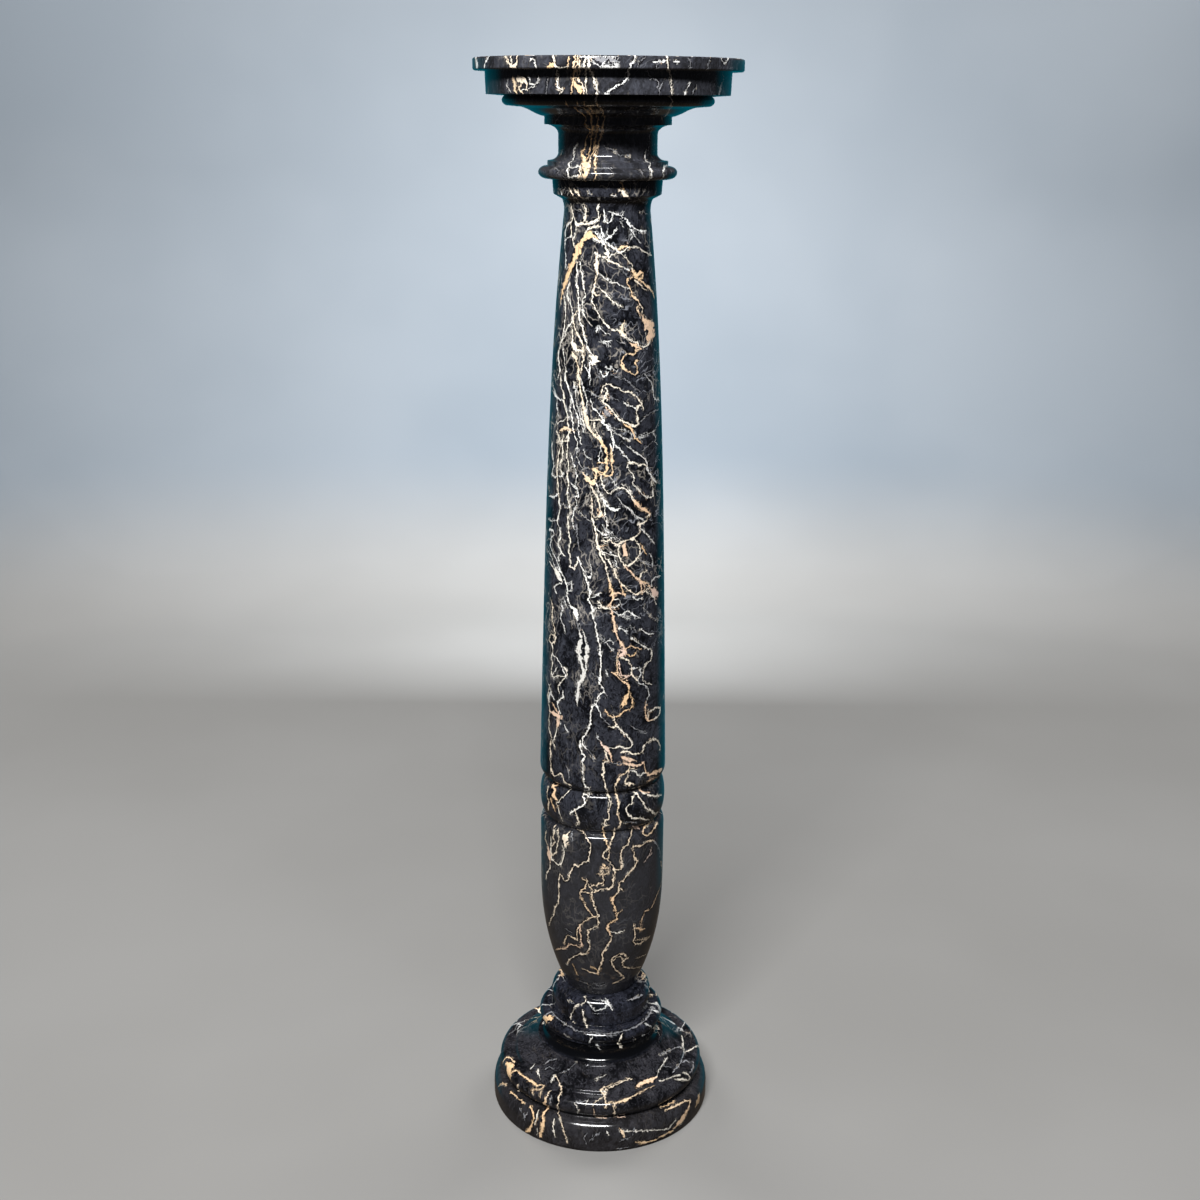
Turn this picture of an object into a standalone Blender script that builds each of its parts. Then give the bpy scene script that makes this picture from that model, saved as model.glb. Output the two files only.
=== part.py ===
"""Marble column: a turned pedestal of four polished stones that stand on each other.

Metres, +Z up. The origin is on the floor, in the middle of the foot.
"""

import math

import bmesh
import bpy

# Whole column
sides = 40                       # flats around each turned stone
seat_gap = 0.0003                # hairline between one stone and the next
sharp_edge = 32                  # degrees past which a turned edge stays crisp

# Foot: a thick disc, a groove, a rounded rim and a hollow slope up to the seat
disc_radius = 0.1187
disc_sole_radius = 0.1178        # where the disc meets the floor
disc_heel_height = 0.0030        # eased bottom edge
disc_side_height = 0.0120        # side between the eased edge and the rounded top
disc_round_height = 0.0175       # rounded top edge
disc_shelf_radius = 0.1065       # inner end of the rounded top edge
rim_groove_radius = 0.1050
rim_groove_height = 0.0035
rim_radius = 0.1115
rim_bulge = 0.0080               # how far the rim stands out past its own foot and top
rim_height = 0.0185
band_radius = 0.0950             # inner end of the flat band on top of the rim
step_height = 0.0030
slope_radius = 0.0930            # outer end of the hollow slope
slope_height = 0.0150
slope_hollow = 0.30              # 0 is a straight slope, 1 is the deepest hollow
seat_radius = 0.0695             # inner end of the slope, where the drum's stone stands
seat_edge_height = 0.0010

# Base drum: a hollow, a round ring and a low drum with a rounded shoulder
hollow_foot_radius = 0.0665
hollow_waist_radius = 0.0605
hollow_low_height = 0.0095
hollow_high_height = 0.0110
ring_foot_radius = 0.0645
ring_radius = 0.0673
ring_bulge = 0.0088
ring_height = 0.0165
quirk_radius = 0.0530            # the narrow groove between ring and drum
quirk_height = 0.0015
drum_radius = 0.0543
drum_side_height = 0.0150
drum_shoulder_inset = 0.0005     # the fine step where the shoulder starts
drum_shoulder_height = 0.0135
drum_top_radius = 0.0440

# Shaft: a vase-shaped urn, a bead between two grooves, the tapered shaft and the necking ring
urn_foot_radius = 0.0386
urn_radius = 0.0654
urn_belly_height = 0.1340
urn_fullness = 2.35              # how fast the belly swells from its foot
urn_side_height = 0.0570
groove_radius = 0.0597
groove_height = 0.0040
shoulder_height = 0.0090         # rounded edge of the stone on either side of the bead and its grooves
bead_radius = 0.0656
bead_height = 0.0405
shaft_foot_radius = 0.0658
shaft_taper = 0.0130             # even part of the taper
shaft_swell = 0.0118             # further drop in radius, nearly all of it near the top
shaft_swell_power = 4
shaft_length = 0.5654
flare_height = 0.0114            # hollow that spreads from the shaft to the necking ring
flare_radius = 0.0444
necking_edge_height = 0.0036
necking_low_radius = 0.0512
necking_radius = 0.0523
necking_height = 0.0136

# Capital: a collar, the neck, a fillet and ogee, a small roll, a thick disc and the top slab
collar_foot_radius = 0.0560
collar_radius = 0.0655
collar_bulge = 0.0085
collar_height = 0.0119
collar_ring_radius = 0.0568      # the small flat ring on top of the collar
collar_ring_height = 0.0045
neck_radius = 0.0466
neck_foot_height = 0.0070        # hollow from the small ring up to the neck
neck_height = 0.0170
neck_head_height = 0.0085        # hollow from the neck out to the fillet
fillet_radius = 0.0596
fillet_height = 0.0073
ogee_foot_radius = 0.0605
ogee_head_radius = 0.0820
ogee_height = 0.0082
ogee_bend = 0.60                 # 0 is a straight slope, 1 is flat at both ends
roll_foot_radius = 0.0925
roll_foot_height = 0.0008
roll_radius = 0.0990
roll_bulge = 0.0065
roll_height = 0.0100
disc_two_low_radius = 0.1137
disc_two_high_radius = 0.1145
disc_two_height = 0.0208
slab_radius = 0.1256
slab_edge = 0.0012               # eased arris of the slab
slab_height = 0.0111


def oval(radius, bulge, low, high, start, end, steps):
    """Points up an oval moulding that stands out to radius. The angle is -90 at its foot and 90 at its top."""
    middle = (low + high) / 2
    half = (high - low) / 2
    points = []
    for i in range(steps + 1):
        angle = math.radians(start + (end - start) * i / steps)
        points.append((radius - bulge + bulge * math.cos(angle), middle + half * math.sin(angle)))
    return points


def upright_then_flat(radius, low, end_radius, high, steps):
    """Quarter of an oval that leaves its first point straight up and arrives level."""
    points = []
    for i in range(steps + 1):
        angle = math.pi / 2 * i / steps
        points.append((end_radius + (radius - end_radius) * math.cos(angle), low + (high - low) * math.sin(angle)))
    return points


def flat_then_upright(radius, low, end_radius, high, steps):
    """Quarter of an oval that leaves its first point level and arrives straight up."""
    points = []
    for i in range(steps + 1):
        angle = math.pi / 2 * i / steps
        points.append((radius + (end_radius - radius) * math.sin(angle), high - (high - low) * math.cos(angle)))
    return points


def ogee(radius, low, end_radius, high, bend, steps):
    """A double curve, level at both ends and steepest in the middle."""
    points = []
    for i in range(steps + 1):
        t = i / steps
        smooth = t * t * (3 - 2 * t)
        points.append((radius + (end_radius - radius) * t, low + (high - low) * (t + bend * (smooth - t))))
    return points


def hollow_slope(radius, low, end_radius, high, hollow, steps):
    """A slope that steepens evenly on its way in."""
    points = []
    for i in range(steps + 1):
        t = i / steps
        points.append((radius + (end_radius - radius) * t, low + (high - low) * (t + hollow * (t * t - t))))
    return points


def swelling(foot_radius, low, radius, high, fullness, steps):
    """The urn's belly: its radius closes on the full one as a power of the height that is left."""
    points = []
    for i in range(steps + 1):
        left = 1 - i / steps
        points.append((radius - (radius - foot_radius) * left ** fullness, low + (high - low) * (1 - left)))
    return points


def taper(low, steps):
    """The shaft: an even taper, with a further drop near its top."""
    points = []
    for i in range(steps + 1):
        t = i / steps
        radius = shaft_foot_radius - shaft_taper * t - shaft_swell * t ** shaft_swell_power
        points.append((radius, low + shaft_length * t))
    return points


def foot_profile(z):
    """The foot's outline from the middle of its sole to the middle of its seat, and the height of that seat."""
    outline = [(0, z), (disc_sole_radius, z)]
    z += disc_heel_height
    outline.append((disc_radius, z))
    z += disc_side_height
    top = z + disc_round_height
    outline += upright_then_flat(disc_radius, z, disc_shelf_radius, top, 5)
    outline.append((rim_groove_radius, top))
    z = top + rim_groove_height
    outline.append((rim_groove_radius, z))
    outline += oval(rim_radius, rim_bulge, z, z + rim_height, -84, 84, 7)
    z += rim_height
    outline.append((band_radius, z))
    z += step_height
    outline += hollow_slope(slope_radius, z, seat_radius, z + slope_height, slope_hollow, 3)
    z += slope_height + seat_edge_height
    outline += [(seat_radius, z), (0, z)]
    return outline, z


def drum_profile(z):
    """The base drum's outline from the middle of its underside to the middle of its top, and that top's height."""
    outline = [(0, z)]
    waist = z + hollow_low_height
    outline += flat_then_upright(hollow_foot_radius, z, hollow_waist_radius, waist, 3)
    z = waist + hollow_high_height
    outline += upright_then_flat(hollow_waist_radius, waist, ring_foot_radius, z, 3)[1:]
    outline += oval(ring_radius, ring_bulge, z, z + ring_height, -50, 84, 6)
    z += ring_height
    outline.append((quirk_radius, z))
    z += quirk_height
    outline += [(quirk_radius, z), (drum_radius, z)]
    z += drum_side_height
    outline.append((drum_radius, z))
    shoulder_radius = drum_radius - drum_shoulder_inset
    outline += upright_then_flat(shoulder_radius, z, drum_top_radius, z + drum_shoulder_height, 4)
    z += drum_shoulder_height
    outline.append((0, z))
    return outline, z


def shaft_profile(z):
    """The shaft's outline from the middle of the urn's foot to the middle of the necking ring, and its height."""
    outline = [(0, z)]
    outline += swelling(urn_foot_radius, z, urn_radius, z + urn_belly_height, urn_fullness, 8)
    z += urn_belly_height + urn_side_height
    outline += upright_then_flat(urn_radius, z, groove_radius, z + shoulder_height, 3)
    z += shoulder_height + groove_height
    bulge = bead_radius - groove_radius
    outline += oval(bead_radius, bulge, z, z + bead_height, -90, 90, 8)
    z += bead_height + groove_height
    outline += flat_then_upright(groove_radius, z, shaft_foot_radius, z + shoulder_height, 3)
    z += shoulder_height
    outline += taper(z, 8)[1:]
    z += shaft_length
    head_radius = outline[-1][0]
    outline += upright_then_flat(head_radius, z, flare_radius, z + flare_height, 3)[1:]
    z += flare_height + necking_edge_height
    outline.append((necking_low_radius, z))
    z += necking_height
    outline += [(necking_radius, z), (0, z)]
    return outline, z


def capital_profile(z):
    """The capital's outline from the middle of the collar's underside to the middle of the top, and that height."""
    outline = [(0, z), (collar_foot_radius, z)]
    outline += oval(collar_radius, collar_bulge, z, z + collar_height, -72, 72, 6)
    z += collar_height
    outline.append((collar_ring_radius, z))
    z += collar_ring_height
    outline += flat_then_upright(collar_ring_radius, z, neck_radius, z + neck_foot_height, 3)
    z += neck_foot_height + neck_height
    outline += upright_then_flat(neck_radius, z, fillet_radius, z + neck_head_height, 3)
    z += neck_head_height + fillet_height
    outline.append((fillet_radius, z))
    outline += ogee(ogee_foot_radius, z, ogee_head_radius, z + ogee_height, ogee_bend, 5)
    z += ogee_height + roll_foot_height
    outline.append((roll_foot_radius, z))
    outline += oval(roll_radius, roll_bulge, z, z + roll_height, -80, 50, 5)
    z += roll_height
    outline.append((disc_two_low_radius, z))
    z += disc_two_height
    outline.append((disc_two_high_radius, z))
    outline += [(slab_radius - slab_edge, z), (slab_radius, z + slab_edge)]
    z += slab_height
    outline += [(slab_radius, z - slab_edge), (slab_radius - slab_edge, z), (0, z)]
    return outline, z


def marble(name, colour, roughness):
    """Polished stone: a dark base colour with a low roughness and no metal in it."""
    material = bpy.data.materials.new(name)
    material.use_nodes = True
    shader = material.node_tree.nodes["Principled BSDF"]
    shader.inputs["Base Color"].default_value = (*colour, 1)
    shader.inputs["Roughness"].default_value = roughness
    shader.inputs["Metallic"].default_value = 0
    return material


def turned(name, outline, material):
    """Spins an outline of (radius, height) points around Z into one closed stone."""
    mesh = bpy.data.meshes.new(name)
    work = bmesh.new()
    points = [work.verts.new((radius, 0, height)) for radius, height in outline]
    lines = [work.edges.new(pair) for pair in zip(points[:-1], points[1:])]
    bmesh.ops.spin(
        work, geom=points + lines, axis=(0, 0, 1), cent=(0, 0, 0),
        angle=math.tau, steps=sides, use_merge=True,
    )
    bmesh.ops.remove_doubles(work, verts=work.verts, dist=1e-6)
    bmesh.ops.recalc_face_normals(work, faces=work.faces)
    work.to_mesh(mesh)
    work.free()
    mesh.shade_smooth()
    mesh.set_sharp_from_angle(angle=math.radians(sharp_edge))
    mesh.materials.append(material)
    stone = bpy.data.objects.new(name, mesh)
    bpy.context.scene.collection.objects.link(stone)
    return stone


def build():
    """Stacks the four stones, each on the top of the last one."""
    outline, top = foot_profile(0)
    turned("foot", outline, marble("foot marble", (0.030, 0.030, 0.034), 0.20))
    outline, top = drum_profile(top + seat_gap)
    turned("base_drum", outline, marble("base drum marble", (0.022, 0.023, 0.027), 0.18))
    outline, top = shaft_profile(top + seat_gap)
    turned("shaft", outline, marble("shaft marble", (0.034, 0.033, 0.037), 0.22))
    outline, top = capital_profile(top + seat_gap)
    turned("capital", outline, marble("capital marble", (0.030, 0.032, 0.037), 0.20))
    return top


for old in list(bpy.data.objects):
    bpy.data.objects.remove(old, do_unlink=True)
build()
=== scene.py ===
import math

import bpy
import numpy as np
from mathutils import Euler, Matrix, Vector
from mathutils.bvhtree import BVHTree


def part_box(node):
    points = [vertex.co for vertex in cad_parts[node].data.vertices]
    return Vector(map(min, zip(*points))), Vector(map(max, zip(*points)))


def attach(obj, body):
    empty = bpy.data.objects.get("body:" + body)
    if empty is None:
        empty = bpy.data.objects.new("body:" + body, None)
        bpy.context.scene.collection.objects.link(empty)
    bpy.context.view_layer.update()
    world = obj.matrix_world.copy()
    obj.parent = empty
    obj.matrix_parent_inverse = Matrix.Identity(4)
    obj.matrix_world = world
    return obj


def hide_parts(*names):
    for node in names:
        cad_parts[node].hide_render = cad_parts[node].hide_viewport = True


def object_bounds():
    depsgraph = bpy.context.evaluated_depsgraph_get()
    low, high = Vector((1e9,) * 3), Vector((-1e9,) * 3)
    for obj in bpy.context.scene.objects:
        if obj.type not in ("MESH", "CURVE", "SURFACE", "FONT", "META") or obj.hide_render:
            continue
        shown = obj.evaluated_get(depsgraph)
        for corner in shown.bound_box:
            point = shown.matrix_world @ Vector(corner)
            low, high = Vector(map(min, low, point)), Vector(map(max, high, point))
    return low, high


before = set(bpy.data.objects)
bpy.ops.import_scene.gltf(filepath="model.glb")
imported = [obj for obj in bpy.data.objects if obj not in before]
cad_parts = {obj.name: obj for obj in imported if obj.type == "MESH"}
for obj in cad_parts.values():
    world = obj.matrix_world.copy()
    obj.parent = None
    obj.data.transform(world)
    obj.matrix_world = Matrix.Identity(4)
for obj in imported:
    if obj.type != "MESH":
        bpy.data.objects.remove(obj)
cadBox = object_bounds()
print("frame: loaded", sorted(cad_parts))

# Camera
# The view of the photograph: a little above the middle of the column, close, looking down at it.
cameraView = {
    "place": (-0.0042, -1.5502, 1.0636),
    "lookDown": 17.4576,     # degrees under the horizon
    "roll": 0.43,            # degrees, turns the picture a little clockwise
    "lens": 47.697,
    "sensor": 36.0,
    "pixels": 1200,          # of the photograph, each way
}


def makeCamera(view):
    data = bpy.data.cameras.new("photoCamera")
    data.lens = view["lens"]
    data.sensor_width = view["sensor"]
    data.clip_start = 0.02
    data.clip_end = 60.0
    camera = bpy.data.objects.new("photoCamera", data)
    bpy.context.scene.collection.objects.link(camera)
    tilt = Euler((math.radians(90.0 - view["lookDown"]), 0.0, 0.0)).to_matrix().to_4x4()
    roll = Matrix.Rotation(math.radians(view["roll"]), 4, "Z")
    camera.matrix_world = Matrix.Translation(view["place"]) @ tilt @ roll
    bpy.context.scene.camera = camera
    return camera


def pixelRay(camera, view, x, y):
    # A pixel's place on the sensor, in the camera's own axes, turned into the scene.
    onSensor = Vector((x / view["pixels"] - 0.5, 0.5 - y / view["pixels"], -view["lens"] / view["sensor"]))
    return camera.matrix_world.to_3x3() @ onSensor.normalized()


photoCamera = makeCamera(cameraView)
print("camera: set")

# Outlines
# An outline runs from the axis underneath to the axis on top as rows of (radius, height).
# Every curve here has the formula that the solids have, with more steps.


def oval(radius, bulge, low, high, start, end, steps=40):
    # Upright half oval: radius falls back by bulge times 1 - cos(turn), height follows sin(turn).
    turn = np.radians(np.linspace(start, end, steps))
    middle, half = (low + high) / 2, (high - low) / 2
    return np.stack([radius - bulge + bulge * np.cos(turn), middle + half * np.sin(turn)], axis=1)


def uprightThenFlat(radius, low, endRadius, high, steps=24):
    # Quarter oval that leaves upright and ends flat: cos for the radius, sin for the height.
    turn = np.radians(np.linspace(0.0, 90.0, steps))
    reach = endRadius + (radius - endRadius) * np.cos(turn)
    return np.stack([reach, low + (high - low) * np.sin(turn)], axis=1)


def flatThenUpright(radius, low, endRadius, high, steps=24):
    # Quarter oval that leaves flat and ends upright: sin for the radius, cos for the height.
    turn = np.radians(np.linspace(0.0, 90.0, steps))
    reach = radius + (endRadius - radius) * np.sin(turn)
    return np.stack([reach, high - (high - low) * np.cos(turn)], axis=1)


def ogee(radius, low, endRadius, high, bend, steps=30):
    # Double bend: the height follows t, bent towards the S curve 3tt - 2ttt.
    t = np.linspace(0.0, 1.0, steps)
    bent = t + bend * (t * t * (3 - 2 * t) - t)
    return np.stack([radius + (endRadius - radius) * t, low + (high - low) * bent], axis=1)


def hollowSlope(radius, low, endRadius, high, hollow, steps=16):
    # Slope that sags: the height follows t + hollow (tt - t).
    t = np.linspace(0.0, 1.0, steps)
    sagged = t + hollow * (t * t - t)
    return np.stack([radius + (endRadius - radius) * t, low + (high - low) * sagged], axis=1)


def swelling(footRadius, low, radius, high, fullness, steps=72):
    # Belly: the radius lacks its difference to the foot times the height left, to the power fullness.
    t = np.linspace(0.0, 1.0, steps)
    return np.stack([radius - (radius - footRadius) * (1 - t) ** fullness, low + (high - low) * t], axis=1)


def softenCorners(outline, size, bend=24.0, steps=5):
    # Each corner that turns more than bend degrees becomes a small parabola,
    # a(1-t)(1-t) + 2 corner t(1-t) + b t t. Its ends a and b lie size away along the two sides, or
    # less where a side is short.
    before = outline[1:-1] - outline[:-2]
    after = outline[2:] - outline[1:-1]
    lengthBefore = np.linalg.norm(before, axis=1, keepdims=True)
    lengthAfter = np.linalg.norm(after, axis=1, keepdims=True)
    cosTurn = np.sum(before * after, axis=1, keepdims=True) / (lengthBefore * lengthAfter)
    sharp = (cosTurn < math.cos(math.radians(bend))).ravel()
    cut = np.minimum(size, 0.42 * np.minimum(lengthBefore, lengthAfter))
    corner = outline[1:-1]
    start = corner - before / lengthBefore * cut
    end = corner + after / lengthAfter * cut
    t = np.linspace(0.0, 1.0, steps)[None, :, None]
    rounded = start[:, None] * (1 - t) ** 2 + 2 * corner[:, None] * t * (1 - t) + end[:, None] * t * t
    parts = [outline[:1]]
    for i in range(len(corner)):
        parts.append(rounded[i] if sharp[i] else corner[i:i + 1])
    parts.append(outline[-1:])
    return np.concatenate(parts)


def spreadPoints(outline, spacing):
    # Adds points so that none are further apart than spacing. The first ones all stay. The flat
    # faces that end on the axis only get one near their edge, which keeps their shading flat.
    for end, inner in ((1, 0), (-2, -1)):
        toAxis = outline[inner] - outline[end]
        ring = outline[end] + toAxis * spacing / np.linalg.norm(toAxis)
        outline = np.insert(outline, end + (end < 0), ring, axis=0)
    run = np.concatenate([[0.0], np.cumsum(np.linalg.norm(np.diff(outline, axis=0), axis=1))])
    keep = np.concatenate([[True], np.diff(run) > 1e-7])       # the same point twice counts once
    run, outline = run[keep], outline[keep]
    pieces = np.ceil(np.diff(run) / spacing - 1e-6).astype(int)
    pieces[[0, -1]] = 1
    which = np.repeat(np.arange(len(pieces)), pieces)
    inside = np.arange(len(which)) - np.repeat(np.cumsum(pieces) - pieces, pieces)
    stations = np.append(run[which] + inside / pieces[which] * np.diff(run)[which], run[-1])
    spread = [np.interp(stations, run, outline[:, axis]) for axis in (0, 1)]
    return np.stack(spread, axis=1), stations


toMm = 1000.0            # the veins are measured in mm, the stones in metres


def turnedStone(name, outline, stations, size):
    # Turned surface: x = radius sin(angle), y = -radius cos(angle), z = height. Angle 0 faces the
    # viewer, and the quarter turns in front are divided more finely than those behind. Returns the
    # stone, and for each vertex its degrees round from the front, and in mm its place along the
    # outline and its radius.
    front, back = size["frontColumns"], size["backColumns"]      # for a quarter turn
    angles = np.concatenate([90.0 * quarter + np.linspace(0.0, 90.0, count, endpoint=False)
                             for quarter, count in enumerate((front, back, back, front))])
    angles = np.where(angles > 180.0, angles - 360.0, angles)
    turn = np.radians(angles)
    rings = outline[1:-1]
    columns, rows = len(angles), len(rings)
    radius = rings[:, 0][:, None]
    x = radius * np.sin(turn)[None, :]
    y = -radius * np.cos(turn)[None, :]
    z = np.repeat(rings[:, 1][:, None], columns, axis=1)
    points = np.stack([x, y, z], axis=2).reshape(-1, 3)
    poles = np.array([[0.0, 0.0, outline[0, 1]], [0.0, 0.0, outline[-1, 1]]])
    points = np.concatenate([points, poles])
    i, j = np.meshgrid(np.arange(rows - 1), np.arange(columns), indexing="ij")
    right = (j + 1) % columns
    quads = np.stack([i * columns + j, i * columns + right,
                      (i + 1) * columns + right, (i + 1) * columns + j], axis=2).reshape(-1, 4)
    around = np.arange(columns)
    following = (around + 1) % columns
    under = np.stack([following, around, np.full(columns, len(points) - 2)], axis=1)
    over = np.stack([(rows - 1) * columns + around, (rows - 1) * columns + following,
                     np.full(columns, len(points) - 1)], axis=1)
    loops = np.concatenate([quads.ravel(), under.ravel(), over.ravel()]).astype(np.int32)
    sizes = np.concatenate([np.full(len(quads), 4), np.full(2 * columns, 3)])
    mesh = bpy.data.meshes.new(name)
    mesh.vertices.add(len(points))
    mesh.vertices.foreach_set("co", points.astype(np.float32).ravel())
    mesh.loops.add(len(loops))
    mesh.loops.foreach_set("vertex_index", loops)
    mesh.polygons.add(len(sizes))
    starts = np.concatenate([[0], np.cumsum(sizes)[:-1]])
    mesh.polygons.foreach_set("loop_start", starts.astype(np.int32))
    mesh.polygons.foreach_set("loop_total", sizes.astype(np.int32))
    mesh.polygons.foreach_set("use_smooth", np.ones(len(sizes), dtype=bool))
    mesh.update(calc_edges=True)
    mesh.validate()
    stone = bpy.data.objects.new(name, mesh)
    bpy.context.scene.collection.objects.link(stone)
    across = np.append(np.tile(angles, rows), [0.0, 0.0])
    along = np.append(np.repeat(stations[1:-1], columns), [stations[0], stations[-1]])
    reach = np.append(np.repeat(rings[:, 0], columns), [0.0, 0.0])
    print(name + ": mesh,", len(quads) * 2 + columns * 2, "triangles")
    return stone, across, along * toMm, reach * toMm


# Veins drawn on the stones
# veinRoutes, further down, holds one vein a line, as read from the photograph: its colour,
# strength and width in pixels, then its points as x,y in pixels, with a width of their own where
# the vein swells or thins out. The colour is a number: 0 white, 1 cream, 2 gold, 3 pink, 4 gray.
veinReading = {
    "thin": 1.3,             # pixels, up to this width a vein looks wider than it is
    "broad": 2.0,            # pixels, from this width it looks as wide as it is
    "thinHalf": 0.47,        # mm of half width for each pixel, thin veins
    "broadHalf": 0.82,       # broad ones
    "thinSlant": 0.55,       # power of the cosine that widens veins near the stone's sides, thin ones
    "broadSlant": 1.0,       # broad ones
    "edgeOn": 0.42,          # the least that cosine may be
    "reach": 9.0,            # pixels, how far outside a stone's edge a point may be read
    "warmest": 3.0,          # the colour that warming ends at
}
veinDrawing = {
    "layers": 3,             # so that veins that cross keep a line each
    "margin": 7.0,           # mm beside a vein where the stone still knows its distance
    "far": 50.0,             # mm, stands for no vein in reach
    "blur": 0.55,            # share of the spacing that a vein's own ground ends early
    "topFace": 0.0002,       # what lies this close to the column's top is its top face
}


def placeOnStone(tree, x, y):
    # The place where the stone shows at a pixel. A point read just outside the stone's edge is
    # looked for all around it, further and further away.
    eye = photoCamera.matrix_world.translation
    for reach in np.arange(0.0, veinReading["reach"], 0.5):
        for turn in np.radians(np.arange(0.0, 360.0, 30.0)):
            ray = pixelRay(photoCamera, cameraView, x + reach * math.cos(turn), y + reach * math.sin(turn))
            place = tree.ray_cast(eye, ray)[0]
            if place:
                return place
    raise ValueError("no stone near the vein point %g,%g" % (x, y))


def alongOutline(outline, stations, radius, height):
    # How far along the outline the point of it lies that is nearest to this radius and height.
    start, step = outline[:-1], np.diff(outline, axis=0)
    share = np.sum((np.array([radius, height]) - start) * step, axis=1) / np.sum(step ** 2, axis=1)
    share = np.clip(share, 0.0, 1.0)
    off = start + share[:, None] * step - (radius, height)
    nearest = np.argmin(np.sum(off ** 2, axis=1))
    return stations[nearest] + share[nearest] * (stations[nearest + 1] - stations[nearest])


def halfWidth(pixels, angle):
    # Half width in mm: thin veins count less, and near the stone's sides a vein is seen slantwise.
    look = veinReading
    share = min(max((pixels - look["thin"]) / (look["broad"] - look["thin"]), 0.0), 1.0)
    each = look["thinHalf"] + (look["broadHalf"] - look["thinHalf"]) * share
    slanted = max(math.cos(math.radians(angle)), look["edgeOn"])
    return pixels * each / slanted ** (look["thinSlant"] + (look["broadSlant"] - look["thinSlant"]) * share)


def warmer(colour, power, level, groups):
    # Read as they are, some kinds of veins are paler than the photograph has them. These are
    # warmed by one step for each group they belong to. level is their mean pixel row.
    for group in groups:
        if group["from"] <= colour < group["to"] and level > group["belowRow"]:
            colour = round(min(colour + group["step"], veinReading["warmest"]), 1)
            power = round(power * group["strength"], 2)
    return colour, power


def readVeins(stone, outline, stations, lines, groups):
    # Each vein as (colour, strength, rows of degrees round from the front, mm along, half width).
    tree = BVHTree.FromObject(stone, bpy.context.evaluated_depsgraph_get())
    veins = []
    for line in lines.replace("\n    ", " ").strip().splitlines():
        look, route = line.split(":")
        colour, power, width = [float(number) for number in look.split()]
        points = [[float(number) for number in point.split(",")] for point in route.split()]
        level = sum(point[1] for point in points) / len(points)
        colour, power = warmer(colour, power, level, groups)
        rows = []
        for point in points:
            x, y, wide = [*point, width][:3]
            place = placeOnStone(tree, x, y)
            angle = math.degrees(math.atan2(place.x, -place.y))
            along = alongOutline(outline, stations, math.hypot(place.x, place.y), place.z)
            rows.append((angle, along * toMm, halfWidth(wide, angle)))
        veins.append((colour, power, np.array(rows)))
    return veins


def nearestVein(across, along, reach, veins):
    # For each vertex: its distance to the nearest of these veins on the unrolled surface, with the
    # side of the vein as its sign, so that the vein's middle is where the value passes through 0.
    # Each step of a vein is a straight line there, and only the vertices beside it are looked at.
    count, far = len(across), veinDrawing["far"]
    best, side, away = np.full(count, far), np.full(count, far), np.full(count, far)
    half, tint, strength = np.full(count, 0.5), np.ones(count), np.zeros(count)
    for colour, power, route in veins:
        for a, b in zip(route[:-1], route[1:]):
            margin = veinDrawing["margin"] + max(a[2], b[2])
            beside = (along > min(a[1], b[1]) - margin) & (along < max(a[1], b[1]) + margin)
            near = np.nonzero(beside)[0]
            middleAngle = (a[0] + b[0]) / 2
            turned = (across[near] - middleAngle + 180.0) % 360.0 - 180.0
            toArc = np.radians(1.0) * reach[near]
            close = np.abs(turned * toArc) < margin + abs(b[0] - a[0]) / 2 * toArc
            near, turned, toArc = near[close], turned[close], toArc[close]
            if len(near) == 0:
                continue
            stepX, stepY = (b[0] - a[0]) * toArc, b[1] - a[1]
            offX = turned * toArc - (a[0] - middleAngle) * toArc
            offY = along[near] - a[1]
            share = np.clip((offX * stepX + offY * stepY) / (stepX ** 2 + stepY ** 2 + 1e-9), 0.0, 1.0)
            distance = np.hypot(offX - share * stepX, offY - share * stepY)
            halfHere = a[2] + (b[2] - a[2]) * share
            better = distance - halfHere < best[near]
            chosen = near[better]
            best[chosen] = (distance - halfHere)[better]
            away[chosen] = distance[better]
            sign = np.where(stepX * offY - stepY * offX >= 0.0, 1.0, -1.0)
            side[chosen] = (sign * distance)[better]
            half[chosen] = halfHere[better]
            tint[chosen] = colour
            strength[chosen] = power
    return side, away, half, tint, strength


def drawVeins(stone, across, along, reach, veins, spacing, unseen):
    # Writes the veins into the stone as attributes. Every third vein goes to the same layer, so
    # that where two cross, each keeps its own line. "behind" is how far a vertex is out of the
    # photograph's sight.
    def store(name, kind, field, values):
        attribute = stone.data.attributes.new(name, kind, "POINT")
        attribute.data.foreach_set(field, np.asarray(values, dtype=np.float32).ravel())

    layers = veinDrawing["layers"]
    for layer in range(layers):
        side, away, half, tint, strength = nearestVein(across, along, reach, veins[layer::layers])
        reachOut = away - half - veinDrawing["blur"] * spacing
        line = np.stack([side, reachOut, half], axis=1)
        store("veinLine%d" % layer, "FLOAT_VECTOR", "vector", line)
        look = np.stack([tint, strength, np.zeros_like(tint)], axis=1)
        store("veinLook%d" % layer, "FLOAT_VECTOR", "vector", look)
    places = np.empty(3 * len(across), dtype=np.float32)
    stone.data.vertices.foreach_get("co", places)
    top = places[2::3] > cadBox[1][2] - veinDrawing["topFace"]
    share = (np.abs(across) - unseen[0]) / (unseen[1] - unseen[0])
    store("behind", "FLOAT", "value", np.where(top, 1.0, np.clip(share, 0.0, 1.0)))


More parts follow.
